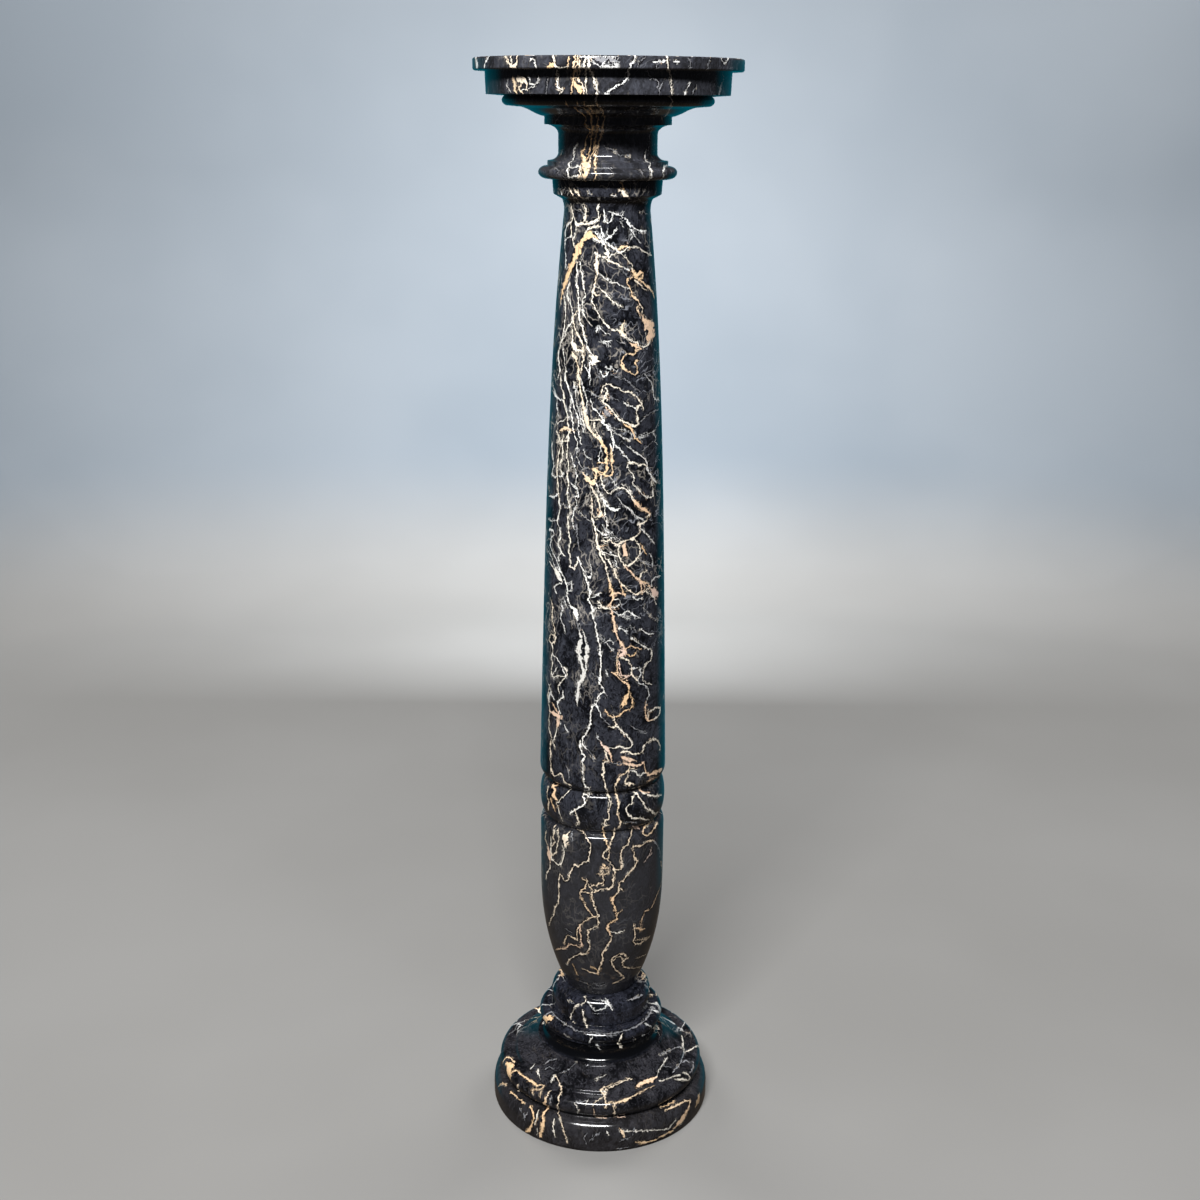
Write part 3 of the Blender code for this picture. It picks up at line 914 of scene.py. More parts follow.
# The veins, stone by stone, as explained above veinReading. A line that starts with four blanks
# carries on the one above it.
veinRoutes = {
    "foot": """
0.1 0.9 1: 554,1076 552,1081
0.9 1 1: 556,1076 559,1081 561,1087 561,1093 558,1105 558,1113 561,1120 563,1128 565,1135 567,1142
0 0.8 0.8: 531,1068 534,1065
1.8 1 1.1: 503,1062 507,1057 511,1058,1.4 514,1062
2 1 2.4: 507,1063,1.6 509,1068,2.8 510,1072,2.5 510,1078,1.2
0 0.9 1.1: 538,1070 538,1073 540,1078,.6
1.9 1 1.3: 512,1072 517,1071 521,1074 525,1077 529,1080,1.8 534,1083,1.7 537,1086
1.2 1 0.9: 537,1086 541,1084 544,1086 542,1089 538,1090 534,1088 532,1091 533,1094
4 0.9 0.6: 560,1073 572,1067 576,1062
1.6 1 0.9: 541,1092 540,1097
1.4 1 1: 551,1091 547,1096 545,1100,1.8
4 0.8 0.7: 545,1064 550,1060 556,1059
2.1 1 1.7: 545,1100 545,1105,2 546,1110,1.3 543,1116 543,1122,1.9 542,1129,1.8 540,1136
0.4 0.9 1: 538,1111 537,1118 535,1124
4 0.8 0.9: 546,1069 549,1067 553,1069
2 1 1.3: 531,1107 533,1113 534,1119 532,1125 529,1130,1.7 526,1132
0.3 0.8 0.8: 537,1129 537,1135
1.5 1 1.3: 518,1085 519,1091,.8
4 0.9 0.9: 551,1097 550,1104
0 0.8 1: 575,1104 578,1108 578,1113
1.9 0.9 1: 511,1092 516,1096 524,1103
4 1 0.6: 576,1102 582,1101 587,1101
0.2 0.8 0.8: 588,1100 586,1104
0.3 1 1: 554,1120 553,1126 555,1136
0.8 1 0.9: 593,1105 603,1097 606,1093 604,1091 608,1088 627,1079 631,1079
1 1 0.8: 600,1091 605,1087 620,1081
1 1 1: 601,1090 604,1094 606,1107
1.2 1 1: 606,1104 610,1103 614,1103,1.2 618,1102 623,1101,1.8 633,1096 648,1088 654,1086
1 1 1.1: 614,1103 614,1115
2.6 0.9 0.9: 594,1110 595,1116 599,1118 606,1118
2.8 1 1.5: 615,1116 618,1117 624,1117,1
2.4 1 2: 637,1086,1.8 646,1082,2.4 652,1079,2 656,1077,.9
0.2 0.95 0.9: 684,1052 690,1050 695,1047 699,1047
0 0.8 0.7: 656,1077 658,1072 661,1067 664,1062 667,1058
4 1 0.8: 664,1066 670,1067
0.2 0.8 1: 660,1081 672,1077 679,1075
0.2 0.9 0.9: 682,1036 683,1045 684,1052
4 1 0.7: 660,1055 664,1053 670,1050 677,1047 682,1047
1.9 0.8 1.5: 660,1137 672,1131
0.3 0.8 0.9: 684,1073 688,1074 690,1078 688,1081 676,1079
4 1 1.1: 684,1052 682,1058 680,1064 676,1068 673,1072
4 1 0.8: 618,1149 628,1147
4 1 0.8: 683,1062 686,1060 689,1062
4 1 0.7: 693,1062 693,1068 690,1072
0 0.9 1.2: 607,1132 608,1134
4 1 0.9: 621,1141 625,1139 629,1138
2 0.8 1.4: 661,1107,.9 667,1105 674,1101,1
2 0.7 2: 699,1095,1.5 698,1101,2 696,1106,1.3
0.1 0.9 0.8: 625,1131 653,1130 668,1129 676,1119
1.2 1 1.4: 620,1129,.8 622,1132,1.8 624,1136,1.4
1.8 0.6 1: 499,1086 502,1083 506,1085
1.2 1 1.1: 689,1107 690,1101 685,1101 672,1107 666,1110
2.3 1 2.3: 674,1128,1.3 680,1122,2.8 684,1117,2.7 687,1111,1.6 689,1106,1
4 0.9 0.9: 520,1109 521,1111
1.9 0.8 1.3: 637,1142 643,1143,1.6 657,1139
4 0.9 0.8: 586,1143 584,1138 586,1134
4 0.9 0.8: 524,1114 524,1119 527,1113
4 0.9 0.8: 590,1141 594,1136 599,1133
4 0.9 0.8: 634,1129 633,1134
0 0.5 1: 596,1080 601,1077 605,1075
""",
    "base_drum": """
1 1 0.9: 585,997 586,1002 582,1004 577,1005 574,1008 573,1013 570,1017 571,1020 574,1023
1 1 1.2: 583,1011,.7 585,1023 587,1027
0 0.7 0.7: 588,1002 592,1008 596,1011 605,1008 606,1005
0 0.8 0.7: 601,999 606,1003 610,1005
0.1 0.9 0.9: 606,999 612,1009
4 1 1.3: 628,1000 642,995
4 1 0.7: 545,1016 548,1013 552,1012
4 0.9 0.8: 568,1000 573,1003
2 0.9 2: 543,1018,1 546,1019,2 550,1019,2 553,1017,.8
4 0.6 0.9: 574,1030 595,1033 606,1034,1.2 632,1028
4 0.75 1: 553,1013 560,1020 574,1029
1 1 1.5: 622,1035,.9 620,1039 618,1043 621,1047
0.2 0.8 0.9: 592,1038 589,1043
4 0.75 1.3: 632,1028 640,1024 650,1013 653,1007
4 1 0.7: 633,1037 634,1041 630,1042
0 0.6 0.8: 645,1024 652,1028 649,1033 643,1035
4 0.6 0.8: 590,1035 610,1036 617,1035
4 0.8 0.8: 565,1034 568,1037 572,1039
0 0.7 0.9: 651,1010 655,1011 658,1012
0.1 0.9 1: 597,1045 600,1049
""",
    "shaft": """
1 1 0.8: 571,206 573,218 571,223 571,230 571.5,236 573,241 574,246
0.7 1 0.9: 599,205 597.5,210 599,215 599,219 596,223
1 1 1.2: 584,205 586,210 586,216 584,221
1 1 1.5: 577,225 582,223 588,224 594,222,1.9 598,219 600,216,.9
0 0.8 0.7: 571,222 567,226 565,232 565,245 566,262 566,268
0.5 1 1: 575,220,.6 576,225 576,230 575,235 573,240 574,246
0 1 0.8: 596,233 602,241
2 1 2.5: 597,239,.8 594,236,1.8 590,234.5,2.6 585,238,2.6 581,243,2.6 578,249,3.2 576,256,3 564.5,284,1.8
    562.5,291,1.6 561,299,1.2 560.5,304,.5
0 0.8 0.6: 571,236 565,240
0 1 0.8: 616,229 613,234 605,241
0 1 0.9: 601,228 603,239
1 1 1: 598,226 592,227 588,229 585,233 582,244
0.8 1 1.1: 596,254 604,257 609,257 612,255 616,253 621,253 624,250 628,247.5 632,247 635,246,.8 644,251,.7
    648,254,.7 651,255,.6
0.3 1 1.1: 607,243 612,247 616,249 620,253
0.8 1 1.2: 594,238 598,241 602,242 605,245,1.6 608,254,1.8 609,259,1.3
0.8 1 0.9: 595,286 604,292 608,297 612,301 617,305,.7 621,307,.5
1 1 1.1: 604,258 608,261 612,262 621,266
0 0.9 0.7: 607.5,230 608,235 610,237
0.8 1 0.9: 622,334 631,341 636,342 640,346 644,347 648,345 650,341
1.3 1 1.5: 597,255 596,266,1.8 597,272 596,278,1.2 595,284 593,290 595,294 598,295,.8
1.8 1 1.3: 619,249,.8 623,246.5,1.6 627,246,1.5 629,248,.9
1.6 1 0.9: 634,297,1.4 638,301 640,304 637,308 638,312 640,316
1.5 1 1.8: 624,322,.4 622,332,2.4 625,335,1.2
0 0.9 0.8: 625,268 628,270
1.9 1 1.5: 633,271 636,275,2.1 640,272 643,273,.9 642,278 639,279 635,277
2.4 1 1.8: 631,344,1.2 636,346,1.9 640,348,1
1 1 0.7: 621,254 626,258 630,263 632,266 633,270
0.3 0.85 0.7: 601,275 606,279 612,282 618,283.5 622,286 629,288.5
2.5 1 2: 640,313,.8 643,318,1.6 650,328,5 651,333,4.4 649,339,2 648,344,.8
0.8 1 0.9: 593,290 592,296 592,301 594,305 599,315 603,321 613,330 620,331
4 0.6 0.5: 615,264 628,277
1.9 1 1.1: 632,277 628,279 627.5,283 631,291 632,295 635,299
1.3 1 0.8: 640,304 642.5,308 642,314
0 0.95 1.3: 610,212,.7 615,213.5 620,216,1
1.8 1 1: 640,279 644,284 650,289,1.4 653,292 654,297
1.2 1 1.2: 636,281 643,288 646,290,.6
0 0.95 1.2: 626,219,.6 628,223 631,226 639,230.5 645,231
0 0.85 0.7: 631,230 637,239 640,242
0 0.95 1: 604,211 605,216 604.5,221 608,223 611,222 613,214
0 0.6 0.5: 633,234 631,239
4 0.7 0.6: 575,209 584,213
0 0.9 0.7: 621,223 623,226
0.5 1 1: 576.5,262 577,270 576.5,278 577,285 579,297 578,303 579,309
0.5 1 0.9: 580,262 581,270 583,276 583,283 585,296 583,299 582,303 582,309 584,315 591,325,.4
0 0.9 0.6: 623,213 621,217 624,218
1.2 1 1.2: 573,320 574,326 576,332 582,342,1.4 583,347 583,360 582,366 581,370
1.2 1 1: 579,309 573,317 573,320
4 0.7 0.5: 628,229 629,236 629,243
0.5 1 1: 564,296,.6 565,305 565.5,316 563,336 561,343 560,348 558,353 560,371 558,378
1.4 1 1.4: 573,354,1.6 576,359,1.6 578,366 579,371,1.6 578,376,1.6 580,382 580,390 582,397 584,410 585,415,1.7
    587,420,2.4 588,425,2.2 590,430,1.6 601,441
4 0.8 0.5: 640,211 647,214
0 0.8 0.8: 553,384 557,398 557,407 558,415
0.6 1 0.9: 570,325 566,330 565,336 562,341
0.5 1 0.8: 569,284 567,290 567.5,297 570,303 572,310 573,317 571,323 568,326
0.2 1 0.8: 570,392 574,407 577,414 579,422 578,430 580,437 581,443
0.8 1 1.1: 561,378 561,385 563,391 564,397,1.5 564,404 568,417 568,425 570,431,1.3 567,437
0.4 1 1.1: 579,309 579,315 580,321 583,327 584,334 588,348 590,352 597,360
1.7 1 1.5: 561,430 565,428 569,429,1.7 573,431,1
0.2 0.9 0.7: 574,383 576,392 576,400 580,416 583,431
1 1 1: 572,328 573,336 572,343,1.6 574,348,3.2 582,351,1
1 1 1: 557,432 559,438,1.3 561,444 559,452 557,468 557,476 558,482 558,490 559,499
0.1 0.9 0.7: 585,366 588,371 590,378 590,383
0.4 1 0.9: 563,349 566,372 565,379 568,386 569,392
0.8 1 1: 569,432 567,450 567,458 569,466 567,474 568,482 568,490,1.2 567,495 569,502 571,512 568,516 568,524
    570,541 569,550 571,567 574,569 577,564 578,558
0.2 0.9 0.7: 572,484 577,490
0 0.9 0.7: 553,391 557,398 561,400 563,400
0 0.7 0.7: 578,450 577,457 579,463 582,468
0.1 0.9 0.7: 576,500 577,505 574,509 573,516 573,523 574,528
0.3 1 0.8: 572,400 570,408 573,422 573,430 575,437 577,441
0 0.7 0.7: 584,451 586,456 590,459
0.2 0.9 0.8: 552,442 552,450 554,466 552,474 555,478 558,476 561,477 564,472
0.2 0.9 0.8: 581,380 587,399 587,407 585,413
1.9 1 1.5: 600,441,1.2 603,445 606,450 607,456,1.7 606,463 607,470,2 604,474,1.6 600,474 597,470 594,469
1 0.9 0.8: 557,442 561,441 566,442 568,440
0 1 0.9: 590,362 590,370 589,377
0.1 1 1.2: 591,400,.7 592,407,.8 596,411 599,413 602,418 604,423,1.6 608,428,2 611,431 614,443 613,449 611,446
0.1 0.8 0.8: 576,439 578,444 576,449
0.6 0.9 0.7: 558,412 556,418 557,424 560,421 565,420 568,417
1 1 0.9: 594,421 594,428 601,439
1.9 1 1.2: 599,463 604,463 608,460 612,461
0.2 1 0.8: 571,455 573,463 576,470 577,476 575,484 579,496 575,497
1 1 1.1: 606,389 607,394 604,397 606,399 602,400 610,408 619,420 625,422 630,424,1.5 635,427,1.4 638,424
    638,417 636,412 638,407,1.4 641,405
1.9 1 1.4: 595,471 600,472 605,476 610,475
0 0.6 0.5: 575,509 580,513 590,521
4 0.8 0.6: 611,397 618,400
0.2 0.7 0.5: 612,430 624,438 630,440
0.8 1 0.9: 563,436 562,444 563,452 562,460 560,466 562,474
4 1 1.8: 606,412 608,414
0 0.8 0.9: 615,444 616,446,1.4 620,449 624,455 627,458,1.2 629,461
4 0.8 1: 588,468 585,468
4 0.8 0.6: 612,375 619,378 625,379 639,391
1 1 1.2: 602,391 603,386 606,384 611,385 618,388 624,392 631,392 635,395 642,404 643,408
1 1 1: 588,420 602,420
4 0.7 0.5: 655,365 652,370 643,374 638,377
2 1 1.4: 625,425,1 630,428,1.9 633,432 635,438 639,441 641,443,.6
0.2 0.9 0.8: 602,444 599,456 599,461,1.2 602,464
0 0.9 0.8: 597,331 598,327 601,329 604,332 609,334
0.1 0.9 0.9: 625,403 636,409
1.8 1 1.1: 611,448 612,452 612,466 613,471,1.3 611,475
0 0.6 0.5: 600,342 605,343 610,346
4 0.9 0.7: 587,391 600,397
0 0.6 0.5: 612,428 620,429 628,431 633,434
0 0.6 0.6: 607,367 616,370
0 0.8 0.7: 610,341 604,342
1.8 1 1.2: 640,349 635,351 636,355 627,353 624,357 622,361 622,366,1.7 626,370 635,375 638,372 637,367
    635,362,1.4 638,360,.8
4 0.8 0.5: 594,379 599,376 602,378
4 0.9 0.6: 595,364 598,371 600,377
0 0.8 0.7: 646,375 652,384 653,389 653,394 655,399 659,400
1 1 1.6: 591,357 595,359,2 593,363 599,361,.7
4 0.9 0.6: 640,422 645,417 651,412 658,410
4 0.9 0.6: 618,341 620,342 624,343
0 0.6 0.5: 655,430 636,438
0 0.6 0.6: 653,433 656,438 655,441 657,444
0 0.9 1.1: 601,372 604,377 607,373
4 0.9 0.6: 643,450 652,442
0.2 0.9 0.8: 628,447 645,459 647,464 647,469 653,479 656,482
4 0.9 0.6: 660,415 659,421 655,430
1 1 1.1: 629,463 634,463 639,465 643,464 646,466
1.1 1 1.1: 650,514 647,517 647,521 643,523 639,524,1.4 640,528 640,533 636,537 620,543 616,545
0.6 1 0.8: 629,463 627,467 633,475 635,479 632,483 644,496 648,498 653,496 653,489 652,483
1.7 1 1.5: 634,501 638,505,1.9 643,509 647,511 650,514,1
1.2 1 1.1: 591,486 594,492 597,497 599,502 601,514,1.7 599,517 595,518 592,512,.9 592,498,.8
4 0.7 0.5: 618,446 622,441 624,444
0.2 0.9 0.7: 609,476 615,484
0 1 1.5: 603,498,.7 606,504,1.3 610,508 614,510,1.7 618,509,1.4
0.8 1 1.1: 601,475 601,482 606,491 610,494 618,488 623,488 628,492 632,497 634,501
0.6 0.9 0.7: 623,485 627,487 631,493
0 0.8 0.7: 603,526 606,531 610,533
1.7 1 2: 584,474,1.4 587,478,2 590,482,2.5 593,484,2.2 595,478,1.7 596,472,1.5
0.1 0.8 0.6: 618,498 621,502 626,507 632,511 635,515 643,520
1.8 1 1.4: 601,547 606,545,.9
1.8 1 1.8: 598,510,1.2 600,514,2.4 603,516,1
0.3 0.9 0.8: 642,529 654,543
0.8 1 1: 602,552 610,563 614,569 616,576
0.1 0.9 0.9: 598,530 602,534 608,535 611,538
0.6 1 1: 596,484 599,491 602,497 604,502 605,510 605,516 607,520 607,527
0.1 0.8 0.8: 611,553 615,558 616,563 618,568
0 0.7 0.5: 606,528 612,532 616,537 620,540
1 1 1.2: 591,513 592,519 594,524 597,536 597,542,1.5 598,548,1.9 600,553 606,566 609,580
0 0.8 0.7: 644,550 640,555
1.1 1 1.1: 603,541 609,540 614,543 618,546
1 1 1.2: 620,545 618,550 619,556 621,561 624,564 628,566 633,563 637,559 640,554 640,547 637,541 632,539
4 1 0.7: 640,560 652,566 658,565 662,570
0.4 1 0.9: 601,550 611,555 616,556
0 0.7 0.8: 650,554 653,560 652,566
0.4 1 1: 559,499 560,508 559,515 557,521 561,532 560,539,1.2 558,545 561,551,1.3 564,555
2 1 2.4: 625,543,.8 624,548,2.8 626,553,2.7 627,557,.8
0.3 1 0.8: 561,553 558,558 559,562
0 0.9 0.9: 550,530 553,530 554,534 551,539 550,545 555,557 558,563 560,569
1.4 0.9 1: 641,545 644,550,1.4 646,554,.7
0 0.8 0.5: 557,520 552,521 549,519
0.6 1 1.8: 550,562,.8 553,567,1.2 556,571,1.9 558,576,2.2 561,580,1.4
0 0.9 1.2: 550,496 554,497 558,494
4 0.9 1: 577,525 577,535 578,545
1.2 1 1.1: 551,600 553,607 552,613 552,620 554,626 555,633 554,637
4 0.8 0.6: 560,503 563,505 568,507
0.2 1 1.1: 560,570 564,577 566,583 567,589 567,596 569,603 571,607
0.8 1 1: 552,644 553,651 551,657 553,663 551,670 552,675
0 0.8 0.7: 549,552 552,558 554,565 557,570
1.2 1 1.1: 550,636 549,640 552,644 555,641 556,637 552,634
0.1 0.8 0.7: 561,600 563,598 565,602 567,607
0.2 1 2.2: 571,607,1.8 574,609,3 576,614,2.3 577,620,.9
0.1 0.8 0.7: 562,599 561,604 563,609 561,614 561,620 564,627 565,632
0 0.7 0.7: 568,583 572,583 572,588 569,591
0.2 0.9 0.9: 561,583 556,585 554,588 556,592
0.3 1 1.1: 584,575 587,580 588,586 590,592 590,596 588,600 591,604 593,609 592,614 594,620 598,640 600,646,1.5
    600,653,1.5 601,660 600,683 604,691,1.3 600,694 597,699 596,705 592,707 591,713 591,720 589,727
    587,733,1.2 584,735 582,739 583,745 586,748
0.2 1 0.9: 578,558 581,564 583,570 586,574 590,578 592,572 591,566
0.1 0.9 0.7: 593,597 600,594
2 1 1.5: 612,595 617,593 621,593,1.1 624,595,.8
4 0.9 0.6: 586,748 590,752 594,760
1.5 1 1.4: 609,580 610,585 612,592 613,597,1.9
1.9 1 1.4: 613,598 610,605 614,622 615,629,1.9 616,634 625,650,1.7
1 1 0.9: 599,602 602,606 606,609 610,609
1 1 0.8: 600,608 606,608
1.2 1 1.1: 615,570 616,576 621,584 631,592 635,594 640,593 645,591 650,587
0.2 0.8 0.7: 594,611 597,608 601,608
1.6 1 1: 640,580 646,583 650,587
1 1 0.9: 640,578 642,573 646,571
1.6 1 0.9: 621,584 622,590 625,595
0.8 0.9 0.8: 645,591 650,594 654,598 656,603
0.1 0.8 0.6: 620,617 627,617 629,619
1.9 1 1.2: 625,566 629,570 632,574 636,578,1.7 640,580,1.3 643,583 645,588 642,592 640,580
1.5 1 0.9: 612,601 610,605
0 1 1.2: 633,614 636,617,1 639,618,.7
0.1 0.8 0.7: 651,587 652,581 655,577 660,576
0.2 0.9 0.9: 612,611 616,612 618,615 622,615 625,612 628,611 631,613
0 0.9 0.9: 620,628 624,630 627,633
2.8 1 2.4: 650,589,1.1 654,591,2.8 656,594,2.6
4 0.8 0.5: 644,605 646,611 651,616 657,620 662,621
0 0.6 0.9: 606,642 610,640 613,643
0.1 0.8 0.7: 633,595 634,599 638,600 642,598
4 0.9 0.5: 627,629 630,627 633,628 636,632
0.3 0.72 1.8: 579,630,.5 581,638,1.5 580,644,2.4 579,651,3 580,658,2.4 582,664,1.6 583,670,2.2 583,677,2.4
    580,682,1.8 578,688,1.6 578,694,1.8 577,700,1.6 577,705,.6
0.4 0.9 0.8: 611,606 615,608 618,607 620,603 618,599 615,600
0.1 0.9 0.8: 641,629 645,632 649,634 653,634
0.3 1 0.8: 553,655 557,658 560,663 566,677
1.7 1 1: 625,649 631,646 636,648 641,649,.7
0.4 0.9 0.7: 632,638 637,642 646,648 651,650
0.4 0.9 0.7: 557,668 555,672 552,675
4 0.8 0.5: 600,636 604,640
0 0.7 1.3: 608,645,.8 612,650
0.3 1 0.9: 563,692 563,697 557,702 558,708 560,712
0.3 0.72 1.8: 583,631,.5 586,640,1.2 587,647,2 586,655,2.2 586,669,1.5 584,675,1
2.7 1 2.4: 620,650,1.2 624,652,3 621,655,2.7
0 0.7 1.1: 565,726 567,731
4 0.8 1.2: 579,618 577,622 579,629
1.4 1 1: 627,655 632,657 636,652
1.1 1 1.1: 622,658 628,660 632,668 631,674 637,680
0.8 1 0.9: 563,667 567,670 567,675 564,679 560,683 558,687 559,692
0.8 1 0.8: 553,677 558,676 563,677
1.4 1 1.5: 629,687 629,692,1.2 626,698,2.5 624,703,2.3 622,707,.9
0.2 0.9 0.8: 549,685 551,692 554,699 550,693 549,701
1.8 1 1: 553,704 556,710
1.2 1 1.2: 614,717 615,722 617,726,1.4 613,728 610,727
2 1 2: 550,711,.8 555,714,1.8 559,716,3 558,721,2.8 557,727,1
0.8 1 0.8: 557,727 557,731 555,735 554,740
2.6 1 1.8: 601,742,.9 604,746,1.9 607,749,2.1 609,753,.9
2.3 1 1.1: 619,663 621,675,1.3 626,677,1.3 631,675
1.7 1 1: 618,654 617,660 617,666 618,672 615,673
0.8 0.9 0.9: 651,650 652,655 651,660 647,663 644,668 643,674 643,680 646,683 651,684
1.7 1 1.3: 613,673 622,680 626,683,1.8 629,687
4 0.9 0.5: 601,717 609,725
1.8 1 1.1: 646,706 645,712 646,718 649,721 653,720
1.5 1 1.1: 630,692 632,699 633,706 630,709 626,710 619,716 614,717,1.4 609,715 606,711
0.8 1 0.9: 650,711 655,708 660,707 660,713 656,718 651,720
4 1 0.6: 631,726 635,729 646,733
0.8 1 1: 617,726 629,738 632,742 632,746 628,749 624,748 620,746 616,748 611,748
0 0.7 0.9: 607,671 608,675
1 0.9 0.9: 550,685 548,695 550,712 549,720 549,728 555,748
0 0.7 0.6: 597,734 598,739 601,742
0.2 0.8 0.7: 637,668 631,669
0.6 1 1: 575,810 579,822 577,825
0.1 0.9 0.9: 597,706 601,716
1.9 1 1.1: 609,750 611,755 612,761
1.1 1 1.1: 622,752 628,752 634,754 640,754 643,750
0 0.7 0.7: 640,668 641,673 638,680 640,684 645,685 648,689 649,695 647,700 646,706
2 1 1.6: 623,757 627,760,2 632,760,2 636,761,1
2 1 1.5: 625,763 635,766,1.7 640,765 643,763
1.2 1 0.9: 648,711 648,717
1.3 1 1.2: 629,771,.9 628,776,.9 625,783 629,784,2.1 634,784,1
0.4 0.9 0.8: 631,771 635,771 637,775 641,776 643,773 646,773
1 1 0.9: 643,752 643,748 645,744 649,741 653,739 657,740 660,745 660,750
4 1 0.6: 567,767 569,773 569,778
1.9 1 1: 648,781 652,779 657,777
4 0.8 0.5: 591,671 594,675 599,677
1.3 1 1.3: 603,828 604,835 606,842 609,847
1.2 1 0.9: 555,776 561,773 565,782 570,785
4 0.8 0.5: 603,690 607,697
4 1 0.9: 625,822 630,822 636,823
0.9 1 1: 615,829 614,836 611,841 610,845 608,849 603,854 603,858 608,860 611,863 614,868,1.4 615,873 613,880
    613,886
1.3 1 1.2: 551,741 550,747 551,753 550,758 551,764 551,770 553,774
1.2 0.9 0.9: 656,815 653,820 648,824 643,829 643,833 647,836 651,833 654,828 657,823
2.9 0.9 1.9: 634,827 638,828
0.4 1 1.1: 580,742 580,748 582,753 585,757,1.5 582,761 583,768 583,775 585,786 589,788 590,792 588,796 584,793
    583,796 585,800 585,804 581,807 577,808 571,813
1.6 1 1.5: 557,785 553,786 555,790 553,795 556,799
0.4 1 1.1: 635,793 643,802 646,808 655,814,1.4 658,812
1.2 1 1.1: 604,746 605,751 607,756 608,761 604,762 603,767 604,772 602,775 604,780 605,786 607,790 608,795
    611,805 608,810 609,816 609,819 605,820 604,825,1.5 608,825
1 0.9 0.9: 548,788 547,796 549,802 548,809
0.3 1 1: 643,793 648,795 655,796 661,795
4 0.9 0.6: 611,763 618,764 623,763
0.8 0.9 0.9: 555,826 554,832 553,838 555,842 552,846
1.5 1 1.2: 551,800 555,810
1 1 1.1: 628,764 630,768 626,773 620,776 615,786 619,806 617,812 621,822 619,827
0.7 1 1.8: 569,832,1 566,836,2.5 564,841,2.4 565,846,1.6 568,843,1.3
4 1 0.8: 572,832 572,840
1.8 1 1.2: 643,763 645,768 646,773 650,775 655,772,2 661,770,1.6
0.6 1 0.9: 550,862 550,868 547,873 546,878
0.4 1 1.1: 563,847 564,853 563,859 561,865 557,864 554,861 551,859 551,838
0.4 0.9 0.9: 571,788 568,792 560,800 557,803 562,820
1 0.9 0.8: 546,832 545,838 547,843
1 0.9 0.8: 608,868 608,873 604,875 601,871
1 0.9 0.8: 609,847 609,853 608,859
0.8 1 0.85: 577,829 583,832 590,843 591,849 589,855 588,861 581,864 578,867 575,864 570,873 568,880 564,881
    562,876 560,874 559,880 559,896 558,903 555,907 554,914 549,925
1.2 1 0.8: 583,879 587,882 585,888 581,890 580,895 586,907 590,912 593,917 598,916
0.9 1 1: 633,828 631,834 629,840 628,844 623,848 621,852 621,858 622,864 621,869 615,870
1.3 1 1.2: 604,865 606,868 602,868,.8
1.9 1 1: 580,926 580,932 582,945,1.3 579,947 574,945 569,944 567,947 563,949 561,948 556,950
0.4 1 1.1: 636,793 632,798 632,803 628,806 626,810 628,815 633,818 640,818 649,820
1 0.9 0.7: 587,880 589,886 592,889
1.6 1 1.2: 615,896 612,899,1.7 614,904 617,919 608,924 608,929,2 610,934
2 0.9 1.4: 640,790 644,793 649,792,.8
1 0.9 0.7: 581,892 586,892 590,894
4 1 0.7: 654,841 660,850 660,857
0.7 0.9 0.9: 558,830 559,838 556,853 553,855
0.2 0.9 1.1: 612,932 616,933 623,931,.7
1 0.9 0.8: 619,888 623,890
2 1 2: 548,847,1 549,854,2.3 550,860,1.6
0.9 1 0.8: 637,958 646,954
3.4 0.8 1.6: 651,850,1.7 650,854,2 647,858,1.2 645,861,.5
0.9 1 0.9: 613,886 609,889 603,889 597,891 592,892 591,897 598,914 598,926 588,930 588,941 590,946 588,951
    584,955 581,953 570,959 567,964
1.4 0.9 0.8: 573,965 577,974
1.8 0.9 0.9: 661,862 662,875 661,885 658,892 652,907 649,910 645,911 643,916 641,922 641,929
1 1 0.8: 598,874 602,874 604,880 603,884 599,883 596,886 592,885
4 1 0.6: 580,981 586,983 591,986
1 1 0.9: 634,925 635,932 635,938 633,942 636,944 641,943 645,940 649,937
1.1 1 0.9: 593,917 588,919 583,922 577,929 577,940 572,937 568,935 565,939 564,943
0 0.9 0.8: 561,191 562,195
1 1 1: 640,967 627,968 622,965 623,961 628,958 624,954 619,954 613,957 611,961 613,966 617,971 624,978 619,981
    614,983
1 1 1: 654,841 650,840 645,843 641,846 635,846 632,848 634,853 635,858 637,861 636,865 629,873 623,881 620,882
    618,892 615,896
1.2 1 1.2: 570,190 573,195 577,199
1.4 1 0.8: 592,967 597,970 598,974
1 1 1: 610,934 612,937 610,941 607,945 605,950 602,954 603,959 601,964 598,974 593,973 583,969,.7
2 0.8 1.6: 621,183 623,187
4 1 0.6: 594,983 599,986 605,984
1.3 0.9 0.9: 621,911 617,915
0 0.8 1: 613,196 616,197
4 0.9 0.6: 566,929 571,932
1.6 1 1.2: 637,928 641,930,1.6 644,929
4 1 0.8: 589,191 590,194
1.2 1 1.2: 575,190 579,194 582,198
1 0.9 0.8: 636,940 641,940 646,938
4 1 0.7: 627,203 631,201 633,203 638,200 642,202 647,203
1.2 1 1.6: 620,190,.9 624,193,1.9 630,199,1
1 1 0.8: 614,960 617,957 621,957 624,961
""",
